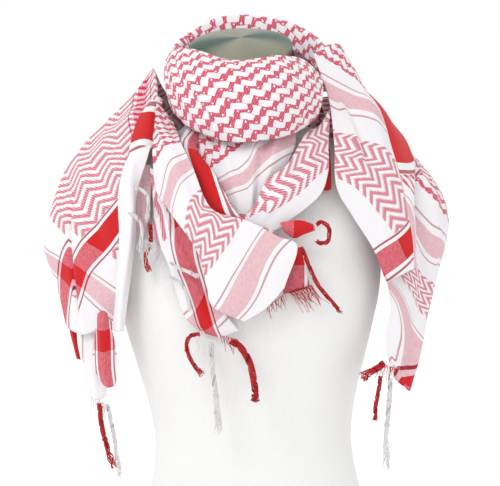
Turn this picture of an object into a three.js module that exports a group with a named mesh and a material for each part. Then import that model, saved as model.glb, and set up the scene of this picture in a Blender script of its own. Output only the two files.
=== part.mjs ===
// A square cotton headscarf (keffiyeh) worn wound round the neck of a limbless dress form.
// Millimetres, +Z up, the front faces -Y, and the origin is the middle of the form's flat base.
import * as THREE from "three";

// ---- Driving sizes -------------------------------------------------------------------------

const CLOTH = 1.6; // wall thickness of the cotton
const CORD_SIDES = 8; // sides of a fringe cord's section
const CORD_STEPS = 9; // straight lengths in a fringe cord
const FORM_SIDES = 40; // facets round the form
const CAP_RADIUS = 65; // polished cap on the neck
const CAP_EDGE = 8; // height of the cap's straight edge
const CAP_DOME = 11; // rise of the cap's dome above that edge
const NECK_TOP = 742; // middle of the slanted neck top
const NECK_TILT = 18.5; // degrees that the neck top leans to the front
const CAP_GAP = 0.4; // the cap sits this far above the neck
const COLLAR_CENTRE = 5; // the neck's axis lies this far behind the origin
const CAP_BEVEL = 1.5; // bevel under the cap's edge
const CAP_STEPS = 6; // facets up the cap's dome
const BAND_LIP = { deep: 13, drop: 30, round: 8, roundDrop: 7 }; // a band's hidden inner lip
const BAND_FALL = { out: 0.72, down: 0.4 }; // share of the way from its ridge to its belly
const BAND_SWELL = { out: 0.3, down: 0.6 }; // share of the way from its belly to its foot
const BAND_TUCK = { deep: 14, rise: 7 }; // its foot turns in and up by this much

// The form, level by level: height, half width, depth to the front and to the back of the axis,
// squareness of the section (2 is an ellipse), and how much the level leans (0 to 1 of the tilt).
const FORM_LEVELS = [
  { z: 0, wide: 168, front: 108, back: 114, square: 2.2, lean: 0 },
  { z: 8, wide: 172, front: 112, back: 118, square: 2.2, lean: 0 },
  { z: 50, wide: 171, front: 113, back: 120, square: 2.2, lean: 0 },
  { z: 100, wide: 160, front: 109, back: 117, square: 2.2, lean: 0 },
  { z: 150, wide: 144, front: 102, back: 108, square: 2.2, lean: 0 },
  { z: 200, wide: 131, front: 94, back: 97, square: 2.2, lean: 0 },
  { z: 250, wide: 125, front: 90, back: 91, square: 2.2, lean: 0 },
  { z: 300, wide: 131, front: 97, back: 93, square: 2.2, lean: 0 },
  { z: 350, wide: 144, front: 111, back: 98, square: 2.25, lean: 0 },
  { z: 400, wide: 157, front: 123, back: 102, square: 2.3, lean: 0 },
  { z: 440, wide: 166, front: 125, back: 105, square: 2.3, lean: 0 },
  { z: 490, wide: 170, front: 115, back: 105, square: 2.4, lean: 0 },
  { z: 540, wide: 174, front: 100, back: 103, square: 2.4, lean: 0 },
  { z: 580, wide: 175, front: 79, back: 94, square: 2.3, lean: 0 },
  { z: 604, wide: 164, front: 66, back: 82, square: 2.2, lean: 0 },
  { z: 622, wide: 130, front: 59, back: 73, square: 2.1, lean: 0 },
  { z: 640, wide: 92, front: 56, back: 66, square: 2, lean: 0 },
  { z: 656, wide: 70, front: 55, back: 65, square: 2, lean: 0.1 },
  { z: 680, wide: 60, front: 54, back: 63, square: 2, lean: 0.4 },
  { z: 712, wide: 58, front: 54, back: 62, square: 2, lean: 0.8 },
  { z: NECK_TOP, wide: 60, front: 55, back: 63, square: 2, lean: 1 },
];

// The rolled bands round the neck. A row is a section at one turn about the neck (degrees from the
// front, plus is towards +X): radius and height of its top ridge, its belly and its foot.
const WRAP_FRONT = [
  { turn: -99, ridge: 90, ridgeZ: 742, belly: 97, bellyZ: 719, foot: 91, footZ: 693 },
  { turn: -78, ridge: 87, ridgeZ: 747, belly: 99, bellyZ: 714, foot: 91, footZ: 681 },
  { turn: -55, ridge: 84, ridgeZ: 748, belly: 108, bellyZ: 705, foot: 96, footZ: 661 },
  { turn: -25, ridge: 89, ridgeZ: 739, belly: 122, bellyZ: 695, foot: 107, footZ: 641 },
  { turn: 0, ridge: 95, ridgeZ: 732, belly: 128, bellyZ: 687, foot: 112, footZ: 633 },
  { turn: 27, ridge: 92, ridgeZ: 735, belly: 125, bellyZ: 688, foot: 110, footZ: 637 },
  { turn: 52, ridge: 87, ridgeZ: 733, belly: 114, bellyZ: 692, foot: 102, footZ: 650 },
  { turn: 72, ridge: 89, ridgeZ: 724, belly: 105, bellyZ: 695, foot: 98, footZ: 664 },
  { turn: 86, ridge: 92, ridgeZ: 714, belly: 101, bellyZ: 696, foot: 96, footZ: 676 },
];
const WRAP_BACK = [
  { turn: 101, ridge: 111, ridgeZ: 743, belly: 120, bellyZ: 718, foot: 116, footZ: 692 },
  { turn: 116, ridge: 110, ridgeZ: 758, belly: 123, bellyZ: 728, foot: 119, footZ: 690 },
  { turn: 138, ridge: 107, ridgeZ: 776, belly: 123, bellyZ: 737, foot: 120, footZ: 688 },
  { turn: 160, ridge: 102, ridgeZ: 787, belly: 120, bellyZ: 741, foot: 118, footZ: 688 },
  { turn: 180, ridge: 100, ridgeZ: 790, belly: 118, bellyZ: 743, foot: 116, footZ: 688 },
  { turn: 202, ridge: 98, ridgeZ: 786, belly: 114, bellyZ: 740, foot: 112, footZ: 690 },
  { turn: 226, ridge: 94, ridgeZ: 770, belly: 106, bellyZ: 734, foot: 104, footZ: 694 },
  { turn: 248, ridge: 89, ridgeZ: 756, belly: 98, bellyZ: 728, foot: 96, footZ: 700 },
  { turn: 260, ridge: 85, ridgeZ: 749, belly: 93, bellyZ: 725, foot: 90, footZ: 703 },
];

// Hanging and lying cloth. A row is a section across the cloth, and each column is one place on
// it, as x, y, z.
const DRAPE_LEFT = {
  columns: ["inner edge", "front", "crease", "side", "back", "blade", "nape"],
  rows: [
    [
      [-106, 8, 702], [-109, 16, 716], [-110, 26, 722], [-111, 40, 722],
      [-92, 67, 688], [-48, 98, 682], [38, 101, 682],
    ],
    [
      [-108, -20, 676], [-117, -4, 686], [-126, 12, 692], [-133, 30, 696],
      [-116, 92, 662], [-40, 112, 658], [60, 115, 656],
    ],
    [
      [-114, -48, 640], [-136, -22, 659], [-153, 2, 663], [-167, 26, 661],
      [-146, 97, 632], [-44, 119, 630], [74, 117, 630],
    ],
    [
      [-128, -70, 616], [-158, -42, 631], [-182, -12, 634], [-202, 18, 628],
      [-180, 94, 602], [-50, 122, 602], [84, 117, 604],
    ],
    [
      [-150, -86, 584], [-176, -60, 596], [-203, -28, 599], [-226, 12, 597],
      [-206, 88, 565], [-58, 124, 572], [90, 116, 580],
    ],
    [
      [-152, -91, 548], [-182, -70, 551], [-216, -42, 553], [-246, 5, 547],
      [-230, 80, 525], [-66, 124, 546], [92, 116, 558],
    ],
    [
      [-154, -92, 512], [-183, -74, 507], [-217, -48, 508], [-256, 0, 508],
      [-236, 66, 500], [-74, 123, 528], [90, 116, 542],
    ],
    [
      [-158, -92, 469], [-185, -76, 460], [-215, -52, 460], [-245, -5, 462],
      [-226, 50, 480], [-84, 121, 516], [84, 116, 530],
    ],
    [
      [-162, -92, 422], [-188, -78, 406], [-211, -58, 399], [-232, -30, 416],
      [-215, 28, 465], [-96, 118, 508], [76, 117, 522],
    ],
  ],
};
const DRAPE_LEFT_FOLD = {
  columns: ["outer edge", "middle", "inner edge"],
  rows: [
    [[-113, -20, 688], [-106, -24, 690], [-99, -22, 686]],
    [[-130, -38, 664], [-116, -46, 667], [-103, -44, 664]],
    [[-138, -60, 638], [-122, -70, 640], [-108, -68, 641]],
    [[-143, -78, 614], [-128, -86, 618], [-115, -82, 624]],
  ],
};
const DRAPE_LEFT_EDGE = {
  columns: ["outer edge", "middle", "inner edge"],
  rows: [
    [[-139, -90, 624], [-126, -96, 629], [-113, -91, 632]],
    [[-149, -98, 603], [-134, -104, 606], [-119, -98, 612]],
    [[-154, -101, 567], [-143, -108, 567], [-133, -101, 571]],
    [[-155, -102, 519], [-145, -110, 516], [-136, -102, 518]],
    [[-160, -102, 464], [-152, -109, 463], [-145, -102, 463]],
    [[-167, -101, 408], [-160, -107, 407], [-155, -101, 408]],
  ],
};
const DRAPE_LEFT_TIP = {
  columns: ["outer edge", "middle", "inner edge"],
  rows: [
    [[-208, -40, 436], [-188, -54, 438], [-168, -70, 440]],
    [[-211, -46, 391], [-188, -64, 393], [-171, -74, 388]],
    [[-208, -54, 353], [-191, -68, 353], [-175, -68, 352]],
    [[-204, -58, 321], [-192, -66, 317], [-181, -62, 321]],
  ],
};
const DRAPE_LEFT_ROLL = {
  columns: ["outer edge", "middle", "inner edge"],
  rows: [
    [[-184, -102, 430], [-178, -110, 434], [-173, -103, 430]],
    [[-192, -92, 389], [-177, -102, 389], [-165, -94, 388]],
    [[-193, -84, 359], [-178, -93, 358], [-165, -84, 355]],
    [[-182, -78, 337], [-175, -83, 335], [-168, -78, 337]],
  ],
};
const DRAPE_LEFT_TAIL = {
  columns: ["outer edge", "middle", "inner edge"],
  rows: [
    [[-227, -24, 428], [-221, -32, 424], [-215, -28, 420]],
    [[-226, -34, 404], [-221, -40, 402], [-217, -36, 398]],
    [[-222, -40, 386], [-219, -44, 384], [-216, -41, 382]],
    [[-217, -44, 367], [-215, -46, 366], [-213, -44, 365]],
  ],
};
const DRAPE_LEFT_INNER = {
  columns: ["outer edge", "middle", "inner edge"],
  rows: [
    [[-134, -80, 605], [-126, -84, 607], [-114, -84, 608]],
    [[-139, -82, 586], [-127, -87, 588], [-114, -86, 590]],
    [[-141, -86, 560], [-130, -92, 558], [-117, -92, 556]],
    [[-141, -88, 530], [-132, -94, 526], [-122, -94, 528]],
  ],
};
const DRAPE_RIGHT = {
  columns: ["inner edge", "front", "fold edge", "turned under"],
  rows: [
    [[90, 2, 736], [111, 14, 748], [128, 36, 746], [126, 72, 724]],
    [[107, -24, 684], [134, -2, 695], [154, 30, 698], [154, 72, 678]],
    [[111, -62, 630], [143, -38, 652], [175, 4, 664], [190, 50, 648]],
    [[111, -90, 576], [150, -72, 598], [190, -38, 604], [213, -2, 602]],
    [[129, -98, 539], [162, -88, 550], [198, -64, 559], [209, -52, 556]],
    [[153, -104, 498], [178, -95, 507], [203, -77, 514], [208, -69, 512]],
    [[168, -104, 458], [186, -98, 464], [205, -84, 471], [208, -78, 469]],
  ],
};
const DRAPE_RIGHT_OUTER = {
  columns: ["inner edge", "front", "side", "back", "blade", "nape"],
  rows: [
    [[97, 30, 682], [110, 46, 682], [114, 62, 683], [92, 84, 680], [22, 116, 678], [-58, 111, 678]],
    [[106, -10, 652], [138, 16, 664], [156, 44, 668], [150, 96, 646], [54, 128, 648], [-50, 126, 648]],
    [[124, -40, 616], [160, -12, 634], [184, 30, 634], [188, 98, 618], [72, 131, 622], [-34, 132, 618]],
    [[142, -62, 574], [183, -22, 602], [212, 24, 598], [216, 94, 588], [90, 131, 598], [-14, 134, 588]],
    [[155, -74, 525], [205, -38, 560], [241, 15, 566], [236, 86, 556], [108, 128, 570], [8, 134, 560]],
    [[165, -80, 479], [215, -52, 512], [254, 5, 529], [244, 74, 522], [124, 122, 546], [28, 132, 540]],
    [[172, -82, 447], [213, -60, 466], [247, -5, 485], [236, 58, 496], [138, 116, 526], [46, 129, 524]],
    [[174, -85, 420], [204, -67, 423], [235, -20, 436], [226, 42, 478], [150, 107, 514], [62, 126, 512]],
    [[168, -85, 392], [196, -69, 386], [221, -38, 390], [222, 18, 458], [160, 98, 504], [76, 122, 504]],
    [[169, -83, 361], [190, -71, 351], [210, -52, 352], [218, -6, 440], [168, 88, 496], [88, 118, 498]],
    [[179, -77, 332], [189, -71, 323], [199, -60, 324], [212, -26, 420], [176, 78, 488], [98, 114, 494]],
  ],
};
const CHEST_FLAP = {
  columns: ["lower edge", "middle", "upper edge"],
  rows: [
    [[-106, -42, 682], [-98, -40, 673], [-87, -42, 659]],
    [[-109, -66, 655], [-95, -68, 650], [-81, -68, 645]],
    [[-111, -90, 626], [-91, -102, 630], [-76, -98, 634]],
    [[-108, -110, 581], [-84, -126, 598], [-62, -122, 605]],
    [[-94, -124, 557], [-64, -142, 564], [-40, -136, 556]],
    [[-61, -140, 508], [-27, -152, 526], [4, -144, 539]],
    [[-50, -148, 467], [-7, -157, 487], [37, -150, 521]],
    [[-43, -148, 439], [7, -156, 458], [60, -152, 508]],
    [[-6, -145, 419], [21, -152, 436], [43, -150, 459]],
  ],
};
const CHEST_RED_BAND = {
  columns: ["lower edge", "middle", "upper edge"],
  rows: [
    [[-70, -54, 650], [-62, -58, 648], [-54, -62, 646]],
    [[-78, -84, 631], [-68, -88, 632], [-57, -88, 625]],
    [[-69, -106, 599], [-54, -110, 602], [-38, -110, 599]],
    [[-45, -122, 558], [-33, -126, 566], [-24, -125, 572]],
    [[-10, -134, 529], [-7, -136, 536], [-5, -135, 543]],
    [[23, -139, 513], [28, -141, 520], [33, -140, 527]],
  ],
};
const CHEST_COWL = {
  columns: ["left edge", "left fold", "middle", "right fold", "right edge"],
  rows: [
    [[-48, -44, 660], [-28, -60, 652], [2, -68, 649], [30, -62, 654], [50, -44, 662]],
    [[-60, -72, 631], [-34, -88, 624], [1, -96, 620], [36, -88, 624], [64, -68, 633]],
    [[-46, -94, 598], [-25, -106, 591], [1, -112, 587], [26, -106, 591], [50, -88, 600]],
    [[-30, -106, 564], [-14, -113, 559], [2, -117, 556], [15, -112, 560], [30, -102, 565]],
    [[-19, -114, 538], [-8, -118, 535], [2, -120, 533], [12, -116, 535], [23, -110, 539]],
  ],
};
const CHEST_PANEL = {
  columns: ["left edge", "middle", "right edge"],
  rows: [
    [[80, -52, 643], [95, -49, 650], [108, -37, 668]],
    [[72, -74, 634], [87, -73, 632], [105, -59, 630]],
    [[52, -100, 604], [79, -105, 600], [101, -90, 591]],
    [[25, -118, 585], [56, -124, 572], [88, -112, 564]],
    [[12, -127, 558], [30, -131, 549], [51, -127, 537]],
    [[-7, -128, 540], [8, -132, 531], [25, -131, 521]],
  ],
};
const CHEST_UNDER = {
  columns: ["outer edge", "middle", "inner edge"],
  rows: [
    [[-115, -92, 604], [-105, -95, 606], [-96, -96, 607]],
    [[-112, -100, 566], [-98, -107, 562], [-84, -110, 556]],
    [[-110, -108, 524], [-86, -120, 520], [-57, -127, 514]],
    [[-96, -118, 488], [-69, -130, 482], [-43, -136, 474]],
    [[-86, -122, 451], [-62, -133, 446], [-38, -138, 443]],
    [[-76, -125, 423], [-52, -133, 419], [-26, -136, 425]],
    [[-53, -126, 404], [-34, -131, 400], [-13, -133, 407]],
  ],
};
const CHEST_CORNER = {
  columns: ["upper edge", "middle", "lower edge"],
  rows: [
    [[40, -136, 536], [43, -138, 530], [46, -136, 524]],
    [[52, -137, 538], [55, -141, 528], [57, -137, 517]],
    [[66, -136, 538], [68, -139, 530], [68, -136, 521]],
    [[80, -131, 533], [82, -134, 529], [82, -131, 525]],
  ],
};
const CHEST_CORNER_TAIL = {
  columns: ["left edge", "middle", "right edge"],
  rows: [
    [[54, -130, 506], [59, -133, 506], [65, -130, 505]],
    [[47, -129, 476], [58, -133, 476], [70, -129, 478]],
    [[39, -128, 449], [57, -132, 452], [74, -128, 458]],
  ],
};
const CHEST_SIDE = {
  columns: ["left edge", "middle", "right edge"],
  rows: [
    [[94, -46, 632], [100, -46, 632], [105, -44, 630]],
    [[93, -70, 601], [100, -72, 600], [106, -70, 600]],
    [[92, -84, 573], [99, -86, 570], [105, -84, 571]],
  ],
};

// Free fringe: bunches of knotted warp ends, each with its radius and its route from the cloth down.
const TASSELS = [
  {
    name: "tassel_left_drape_red",
    radius: 3,
    route: [[-189, -72, 314], [-188, -74, 296], [-185, -75, 275], [-174, -74, 232]],
  },
  {
    name: "tassel_left_drape_white",
    radius: 2.5,
    route: [[-180, -66, 312], [-176, -68, 292], [-171, -70, 260], [-167, -72, 217]],
  },
  {
    name: "tassel_left_chest_red",
    radius: 2.5,
    route: [[-116, -106, 537], [-117, -108, 514], [-123, -110, 499], [-120, -112, 479]],
  },
  {
    name: "tassel_left_upper_white",
    radius: 2,
    route: [[-132, -112, 582], [-122, -114, 577], [-117, -115, 564], [-120, -115, 540]],
  },
  {
    name: "tassel_left_lower_white",
    radius: 2,
    route: [[-142, -114, 552], [-133, -115, 547], [-126, -115, 531], [-131, -115, 504]],
  },
  {
    name: "tassel_under_upper_white",
    radius: 2,
    route: [[-93, -130, 492], [-83, -138, 486], [-70, -145, 481], [-58, -150, 475]],
  },
  {
    name: "tassel_under_lower_white",
    radius: 2,
    route: [[-94, -128, 475], [-81, -137, 467], [-74, -141, 453], [-71, -140, 432]],
  },
  {
    name: "tassel_tip_red",
    radius: 2.5,
    route: [[-60, -137, 405], [-73, -138, 402], [-76, -138, 386], [-69, -136, 369], [-58, -135, 354]],
  },
  {
    name: "tassel_tip_white",
    radius: 3,
    route: [[-47, -132, 395], [-46, -133, 360], [-43, -131, 323], [-42, -126, 280]],
  },
  {
    name: "tassel_tip_long_red",
    radius: 4,
    route: [[-23, -137, 396], [-11, -139, 387], [-1, -139, 368], [4, -137, 340], [4, -134, 320]],
  },
  {
    name: "tassel_corner_red",
    radius: 2.5,
    route: [[65, -144, 507], [72, -143, 488], [84, -138, 460], [112, -131, 423]],
  },
  {
    name: "tassel_corner_loop_red",
    radius: 2.5,
    route: [
      [84, -134, 532], [90, -134, 535], [99, -134, 528], [97, -134, 512], [88, -134, 510], [83, -134, 514],
    ],
  },
  {
    name: "tassel_right_drape_red",
    radius: 4,
    route: [[163, -93, 356], [156, -96, 351], [146, -96, 346], [135, -94, 339]],
  },
  {
    name: "tassel_right_drape_cord_red",
    radius: 2.5,
    route: [[159, -92, 340], [156, -94, 323], [152, -93, 304], [151, -90, 285]],
  },
  {
    name: "tassel_right_drape_white",
    radius: 3,
    route: [[171, -92, 337], [169, -91, 310], [165, -88, 272], [163, -84, 221]],
  },
];

const FORM_COLOUR = "#efefec";
const CHROME_COLOUR = "#b9bfba";
const CLOTH_COLOUR = "#eab4ba";
const RED_COLOUR = "#d3202c";
const WHITE_COLOUR = "#f3f0ee";

// ---- Curves and surfaces -------------------------------------------------------------------

// A smooth curve through lists of numbers, all of one length. t runs from 0 to 1.
function along(knots, t) {
  const last = knots.length - 1;
  const place = Math.min(Math.max(t, 0), 1) * last;
  const index = Math.min(Math.floor(place), last - 1);
  const s = place - index;
  return knots[0].map((unused, axis) => {
    const p1 = knots[index][axis];
    const p2 = knots[index + 1][axis];
    const p0 = index > 0 ? knots[index - 1][axis] : 2 * p1 - p2;
    const p3 = index < last - 1 ? knots[index + 2][axis] : 2 * p2 - p1;
    const bend = 2 * p0 - 5 * p1 + 4 * p2 - p3;
    const turn = 3 * (p1 - p2) + p3 - p0;
    return p1 + 0.5 * s * (p2 - p0 + s * (bend + s * turn));
  });
}

// A grid of points over a table's rows, both ways smooth.
function gridOver(rows, stepsAcross, stepsDown) {
  const grid = [];
  for (let j = 0; j <= stepsDown; j += 1) {
    const section = rows[0].map((unused, column) => {
      const line = rows.map((row) => row[column]);
      return along(line, j / stepsDown);
    });
    const points = [];
    for (let i = 0; i <= stepsAcross; i += 1) {
      points.push(new THREE.Vector3(...along(section, i / stepsAcross)));
    }
    grid.push(points);
  }
  return grid;
}

// The direction square to the sheet at one grid point.
function squareTo(grid, j, i) {
  const rows = grid.length - 1;
  const columns = grid[0].length - 1;
  const acrossStep = new THREE.Vector3().subVectors(
    grid[j][Math.min(i + 1, columns)],
    grid[j][Math.max(i - 1, 0)],
  );
  const downStep = new THREE.Vector3().subVectors(
    grid[Math.min(j + 1, rows)][i],
    grid[Math.max(j - 1, 0)][i],
  );
  return new THREE.Vector3().crossVectors(acrossStep, downStep).normalize();
}

function meshOf(name, positions, faces, material) {
  const geometry = new THREE.BufferGeometry();
  geometry.setAttribute("position", new THREE.Float32BufferAttribute(positions, 3));
  geometry.setIndex(faces);
  geometry.computeVertexNormals();
  const mesh = new THREE.Mesh(geometry, material);
  mesh.name = name;
  return mesh;
}

// A closed cloth wall on a grid: an upper and a lower skin joined round the edge.
function clothWall(name, grid) {
  const rows = grid.length;
  const columns = grid[0].length;
  const positions = [];
  for (const side of [0.5, -0.5]) {
    for (let j = 0; j < rows; j += 1) {
      for (let i = 0; i < columns; i += 1) {
        const point = squareTo(grid, j, i).multiplyScalar(side * CLOTH).add(grid[j][i]);
        positions.push(point.x, point.y, point.z);
      }
    }
  }
  const under = rows * columns;
  const at = (j, i) => j * columns + i;
  const faces = [];
  const quad = (a, b, c, d) => faces.push(a, b, c, a, c, d);
  for (let j = 0; j < rows - 1; j += 1) {
    for (let i = 0; i < columns - 1; i += 1) {
      quad(at(j, i), at(j, i + 1), at(j + 1, i + 1), at(j + 1, i));
      quad(under + at(j, i), under + at(j + 1, i), under + at(j + 1, i + 1), under + at(j, i + 1));
    }
  }
  const rim = [];
  for (let i = 0; i < columns - 1; i += 1) rim.push(at(0, i));
  for (let j = 0; j < rows - 1; j += 1) rim.push(at(j, columns - 1));
  for (let i = columns - 1; i > 0; i -= 1) rim.push(at(rows - 1, i));
  for (let j = rows - 1; j > 0; j -= 1) rim.push(at(j, 0));
  rim.forEach((here, index) => {
    const next = rim[(index + 1) % rim.length];
    quad(here, under + here, under + next, next);
  });
  return meshOf(name, positions, faces, clothMaterial());
}

function clothMaterial() {
  return new THREE.MeshStandardMaterial({ color: CLOTH_COLOUR, roughness: 0.9, metalness: 0 });
}

// ---- Pieces --------------------------------------------------------------------------------

function hangingCloth(name, table, stepsAcross, stepsDown) {
  return clothWall(name, gridOver(table.rows, stepsAcross, stepsDown));
}

// One section of a rolled neck band: from inside the collar, over the ridge, down the belly and
// in under the foot.
function bandSection(row) {
  const turn = THREE.MathUtils.degToRad(row.turn);
  const [lip, fall, swell, tuck] = [BAND_LIP, BAND_FALL, BAND_SWELL, BAND_TUCK];
  const outline = [
    [row.ridge - lip.deep, row.ridgeZ - lip.drop],
    [row.ridge - lip.round, row.ridgeZ - lip.roundDrop],
    [row.ridge, row.ridgeZ],
    [row.ridge + fall.out * (row.belly - row.ridge), row.ridgeZ + fall.down * (row.bellyZ - row.ridgeZ)],
    [row.belly, row.bellyZ],
    [row.belly + swell.out * (row.foot - row.belly), row.bellyZ + swell.down * (row.footZ - row.bellyZ)],
    [row.foot, row.footZ],
    [row.foot - tuck.deep, row.footZ + tuck.rise],
  ];
  return outline.map(([out, height]) => [
    out * Math.sin(turn),
    COLLAR_CENTRE - out * Math.cos(turn),
    height,
  ]);
}

function neckBand(name, table, stepsAcross, stepsRound) {
  return clothWall(name, gridOver(table.map(bandSection), stepsAcross, stepsRound));
}

function dressForm() {
  const slope = Math.tan(THREE.MathUtils.degToRad(NECK_TILT));
  const keys = ["z", "wide", "front", "back", "square", "lean"];
  const positions = [];
  for (const level of FORM_LEVELS) {
    const [z, wide, front, back, square, lean] = keys.map((key) => level[key]);
    for (let k = 0; k < FORM_SIDES; k += 1) {
      const angle = (k / FORM_SIDES) * 2 * Math.PI;
      const across = Math.sign(Math.cos(angle)) * Math.abs(Math.cos(angle)) ** (2 / square);
      const deep = Math.sign(Math.sin(angle)) * Math.abs(Math.sin(angle)) ** (2 / square);
      const y = deep * (deep < 0 ? front : back);
      positions.push(wide * across, y, z + lean * slope * y);
    }
  }
  const faces = [];
  const at = (level, k) => level * FORM_SIDES + (k % FORM_SIDES);
  const top = FORM_LEVELS.length - 1;
  for (let level = 0; level < top; level += 1) {
    for (let k = 0; k < FORM_SIDES; k += 1) {
      faces.push(at(level, k), at(level, k + 1), at(level + 1, k + 1));
      faces.push(at(level, k), at(level + 1, k + 1), at(level + 1, k));
    }
  }
  for (let k = 1; k < FORM_SIDES - 1; k += 1) {
    faces.push(at(0, 0), at(0, k + 1), at(0, k));
    faces.push(at(top, 0), at(top, k), at(top, k + 1));
  }
  const material = new THREE.MeshStandardMaterial({ color: FORM_COLOUR, roughness: 0.85, metalness: 0 });
  return meshOf("dress_form", positions, faces, material);
}

function neckCap() {
  const profile = [new THREE.Vector2(0, 0), new THREE.Vector2(CAP_RADIUS - CAP_BEVEL, 0)];
  profile.push(new THREE.Vector2(CAP_RADIUS, CAP_BEVEL));
  for (let k = 0; k < CAP_STEPS; k += 1) {
    const angle = (k / CAP_STEPS) * (Math.PI / 2);
    profile.push(new THREE.Vector2(CAP_RADIUS * Math.cos(angle), CAP_EDGE + CAP_DOME * Math.sin(angle)));
  }
  profile.push(new THREE.Vector2(0, CAP_EDGE + CAP_DOME));
  const geometry = new THREE.LatheGeometry(profile, FORM_SIDES);
  const material = new THREE.MeshStandardMaterial({ color: CHROME_COLOUR, roughness: 0.12, metalness: 1 });
  const cap = new THREE.Mesh(geometry, material);
  cap.name = "neck_cap";
  cap.rotation.x = Math.PI / 2 + THREE.MathUtils.degToRad(NECK_TILT);
  cap.position.set(0, 0, NECK_TOP + CAP_GAP);
  return cap;
}

function tassel({ name, radius, route }) {
  const curve = new THREE.CatmullRomCurve3(route.map((point) => new THREE.Vector3(...point)));
  const section = new THREE.Shape();
  for (let k = 0; k < CORD_SIDES; k += 1) {
    const angle = (k / CORD_SIDES) * 2 * Math.PI;
    const x = radius * Math.cos(angle);
    const y = radius * Math.sin(angle);
    if (k === 0) section.moveTo(x, y);
    else section.lineTo(x, y);
  }
  const geometry = new THREE.ExtrudeGeometry(section, { steps: CORD_STEPS, extrudePath: curve });
  const colour = name.includes("white") ? WHITE_COLOUR : RED_COLOUR;
  const material = new THREE.MeshStandardMaterial({ color: colour, roughness: 0.9, metalness: 0 });
  const cord = new THREE.Mesh(geometry, material);
  cord.name = name;
  return cord;
}

// ---- The object ----------------------------------------------------------------------------

const group = new THREE.Group();
group.add(
  dressForm(),
  neckCap(),
  neckBand("neck_wrap_front", WRAP_FRONT, 12, 24),
  neckBand("neck_wrap_back", WRAP_BACK, 12, 24),
  hangingCloth("drape_left", DRAPE_LEFT, 18, 14),
  hangingCloth("drape_left_fold", DRAPE_LEFT_FOLD, 4, 6),
  hangingCloth("drape_left_edge", DRAPE_LEFT_EDGE, 4, 10),
  hangingCloth("drape_left_tip", DRAPE_LEFT_TIP, 6, 6),
  hangingCloth("drape_left_roll", DRAPE_LEFT_ROLL, 6, 6),
  hangingCloth("drape_left_tail", DRAPE_LEFT_TAIL, 4, 5),
  hangingCloth("drape_left_inner", DRAPE_LEFT_INNER, 4, 5),
  hangingCloth("drape_right", DRAPE_RIGHT, 12, 14),
  hangingCloth("drape_right_outer", DRAPE_RIGHT_OUTER, 18, 16),
  hangingCloth("chest_flap", CHEST_FLAP, 8, 16),
  hangingCloth("chest_red_band", CHEST_RED_BAND, 4, 10),
  hangingCloth("chest_cowl", CHEST_COWL, 10, 8),
  hangingCloth("chest_panel", CHEST_PANEL, 6, 10),
  hangingCloth("chest_under", CHEST_UNDER, 6, 12),
  hangingCloth("chest_corner", CHEST_CORNER, 4, 6),
  hangingCloth("chest_corner_tail", CHEST_CORNER_TAIL, 4, 4),
  hangingCloth("chest_side", CHEST_SIDE, 4, 4),
  ...TASSELS.map(tassel),
);

export default group;
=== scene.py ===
import math
from functools import cache

import bpy
import numpy as np
from mathutils import Matrix, Vector


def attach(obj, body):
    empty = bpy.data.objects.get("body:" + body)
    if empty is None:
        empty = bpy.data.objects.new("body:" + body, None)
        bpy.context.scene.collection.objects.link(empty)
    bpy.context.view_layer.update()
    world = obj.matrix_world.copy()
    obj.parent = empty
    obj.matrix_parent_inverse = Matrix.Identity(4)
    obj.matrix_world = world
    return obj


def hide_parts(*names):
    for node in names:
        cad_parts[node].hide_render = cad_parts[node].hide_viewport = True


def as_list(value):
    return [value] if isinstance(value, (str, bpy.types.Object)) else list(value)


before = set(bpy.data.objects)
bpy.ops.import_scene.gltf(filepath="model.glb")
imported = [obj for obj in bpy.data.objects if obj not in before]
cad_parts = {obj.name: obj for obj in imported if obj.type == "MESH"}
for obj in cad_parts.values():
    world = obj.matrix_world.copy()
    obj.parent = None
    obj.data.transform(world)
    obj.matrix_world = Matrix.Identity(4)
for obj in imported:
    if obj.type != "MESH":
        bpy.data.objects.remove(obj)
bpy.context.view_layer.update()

MM = 0.001
CLOTH = 1.0  # thickness of the cotton
THREAD = 0.45  # radius of one fringe yarn
COLLAR_CENTRE = 5  # the neck's axis lies this far behind the origin
NECK_TOP = 742
NECK_TILT = math.radians(18.5)
CAP_GAP = 0.4
CAP_RADIUS = 65
CAP_EDGE = 8
CAP_DOME = 11

# The weave. Stripes that run in from the fringe lie at a distance from the scarf's side, and those
# along the fringe at a distance from its fringed end, as (from, to).
EDGE_RED, EDGE_STRIPE = 24, 31  # the red stripe on the side itself, and the same with its line
WIDE_RED, WIDE_STRIPE = (162, 188), (155, 195)
SIDE_LINES = ((28, 30.5), (155.5, 158), (192, 194.5))
PINK_STRIPES = ((24, 46), (226, 244))
END_LINES = ((18, 20), (50, 52), (218, 220), (250, 252))
ZIGZAG_START, ZIGZAG_END = 88, 188
NET_START = 272
# Where the zigzag runs on towards the neck, the distances from the end are counted from 1000 on.
LONG_FROM, LONG_COUNT, LONG_EXTRA = 900, 1000, 500
ZIGZAG_LONG = 40  # one chevron of the zigzag, its reach to the side, and one line of it to the next
ZIGZAG_WIDE = 15
ZIGZAG_STEP = 11.6
STEP_APART, BEAD_APART = 2.6, 3.1  # the small steps and beads in a figure's outline
NET_STEP = 16.2  # one square of the net to the next, and one row of squares to the next
NET_ROW = 24.6
SQUARE = 6.8  # half a square's diagonal
LOZENGE_LONG, LOZENGE_SHORT = 11.7, 5.0
EYE_PLACE, EYE = (4.2, 8.1), 1.3  # a white dot beside each square, and its radius squared
UNEVEN, UNEVEN_LUMPS = 6, (75, 96)  # how far the figures stray, and how finely (per metre)
THREAD_APART = 1.1
RED_SHARE, PINK_SHARE = 0.86, 0.44  # how much red thread shows over white
FIGURE_SHARE, NET_MORE = 0.74, 0.16
SIDE_LINE_SHARE, END_LINE_SHARE = 0.85, 0.62

# ---- The cloth's stretches: rows run down the cloth, columns across it, as (x, y, z) ----------

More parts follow.
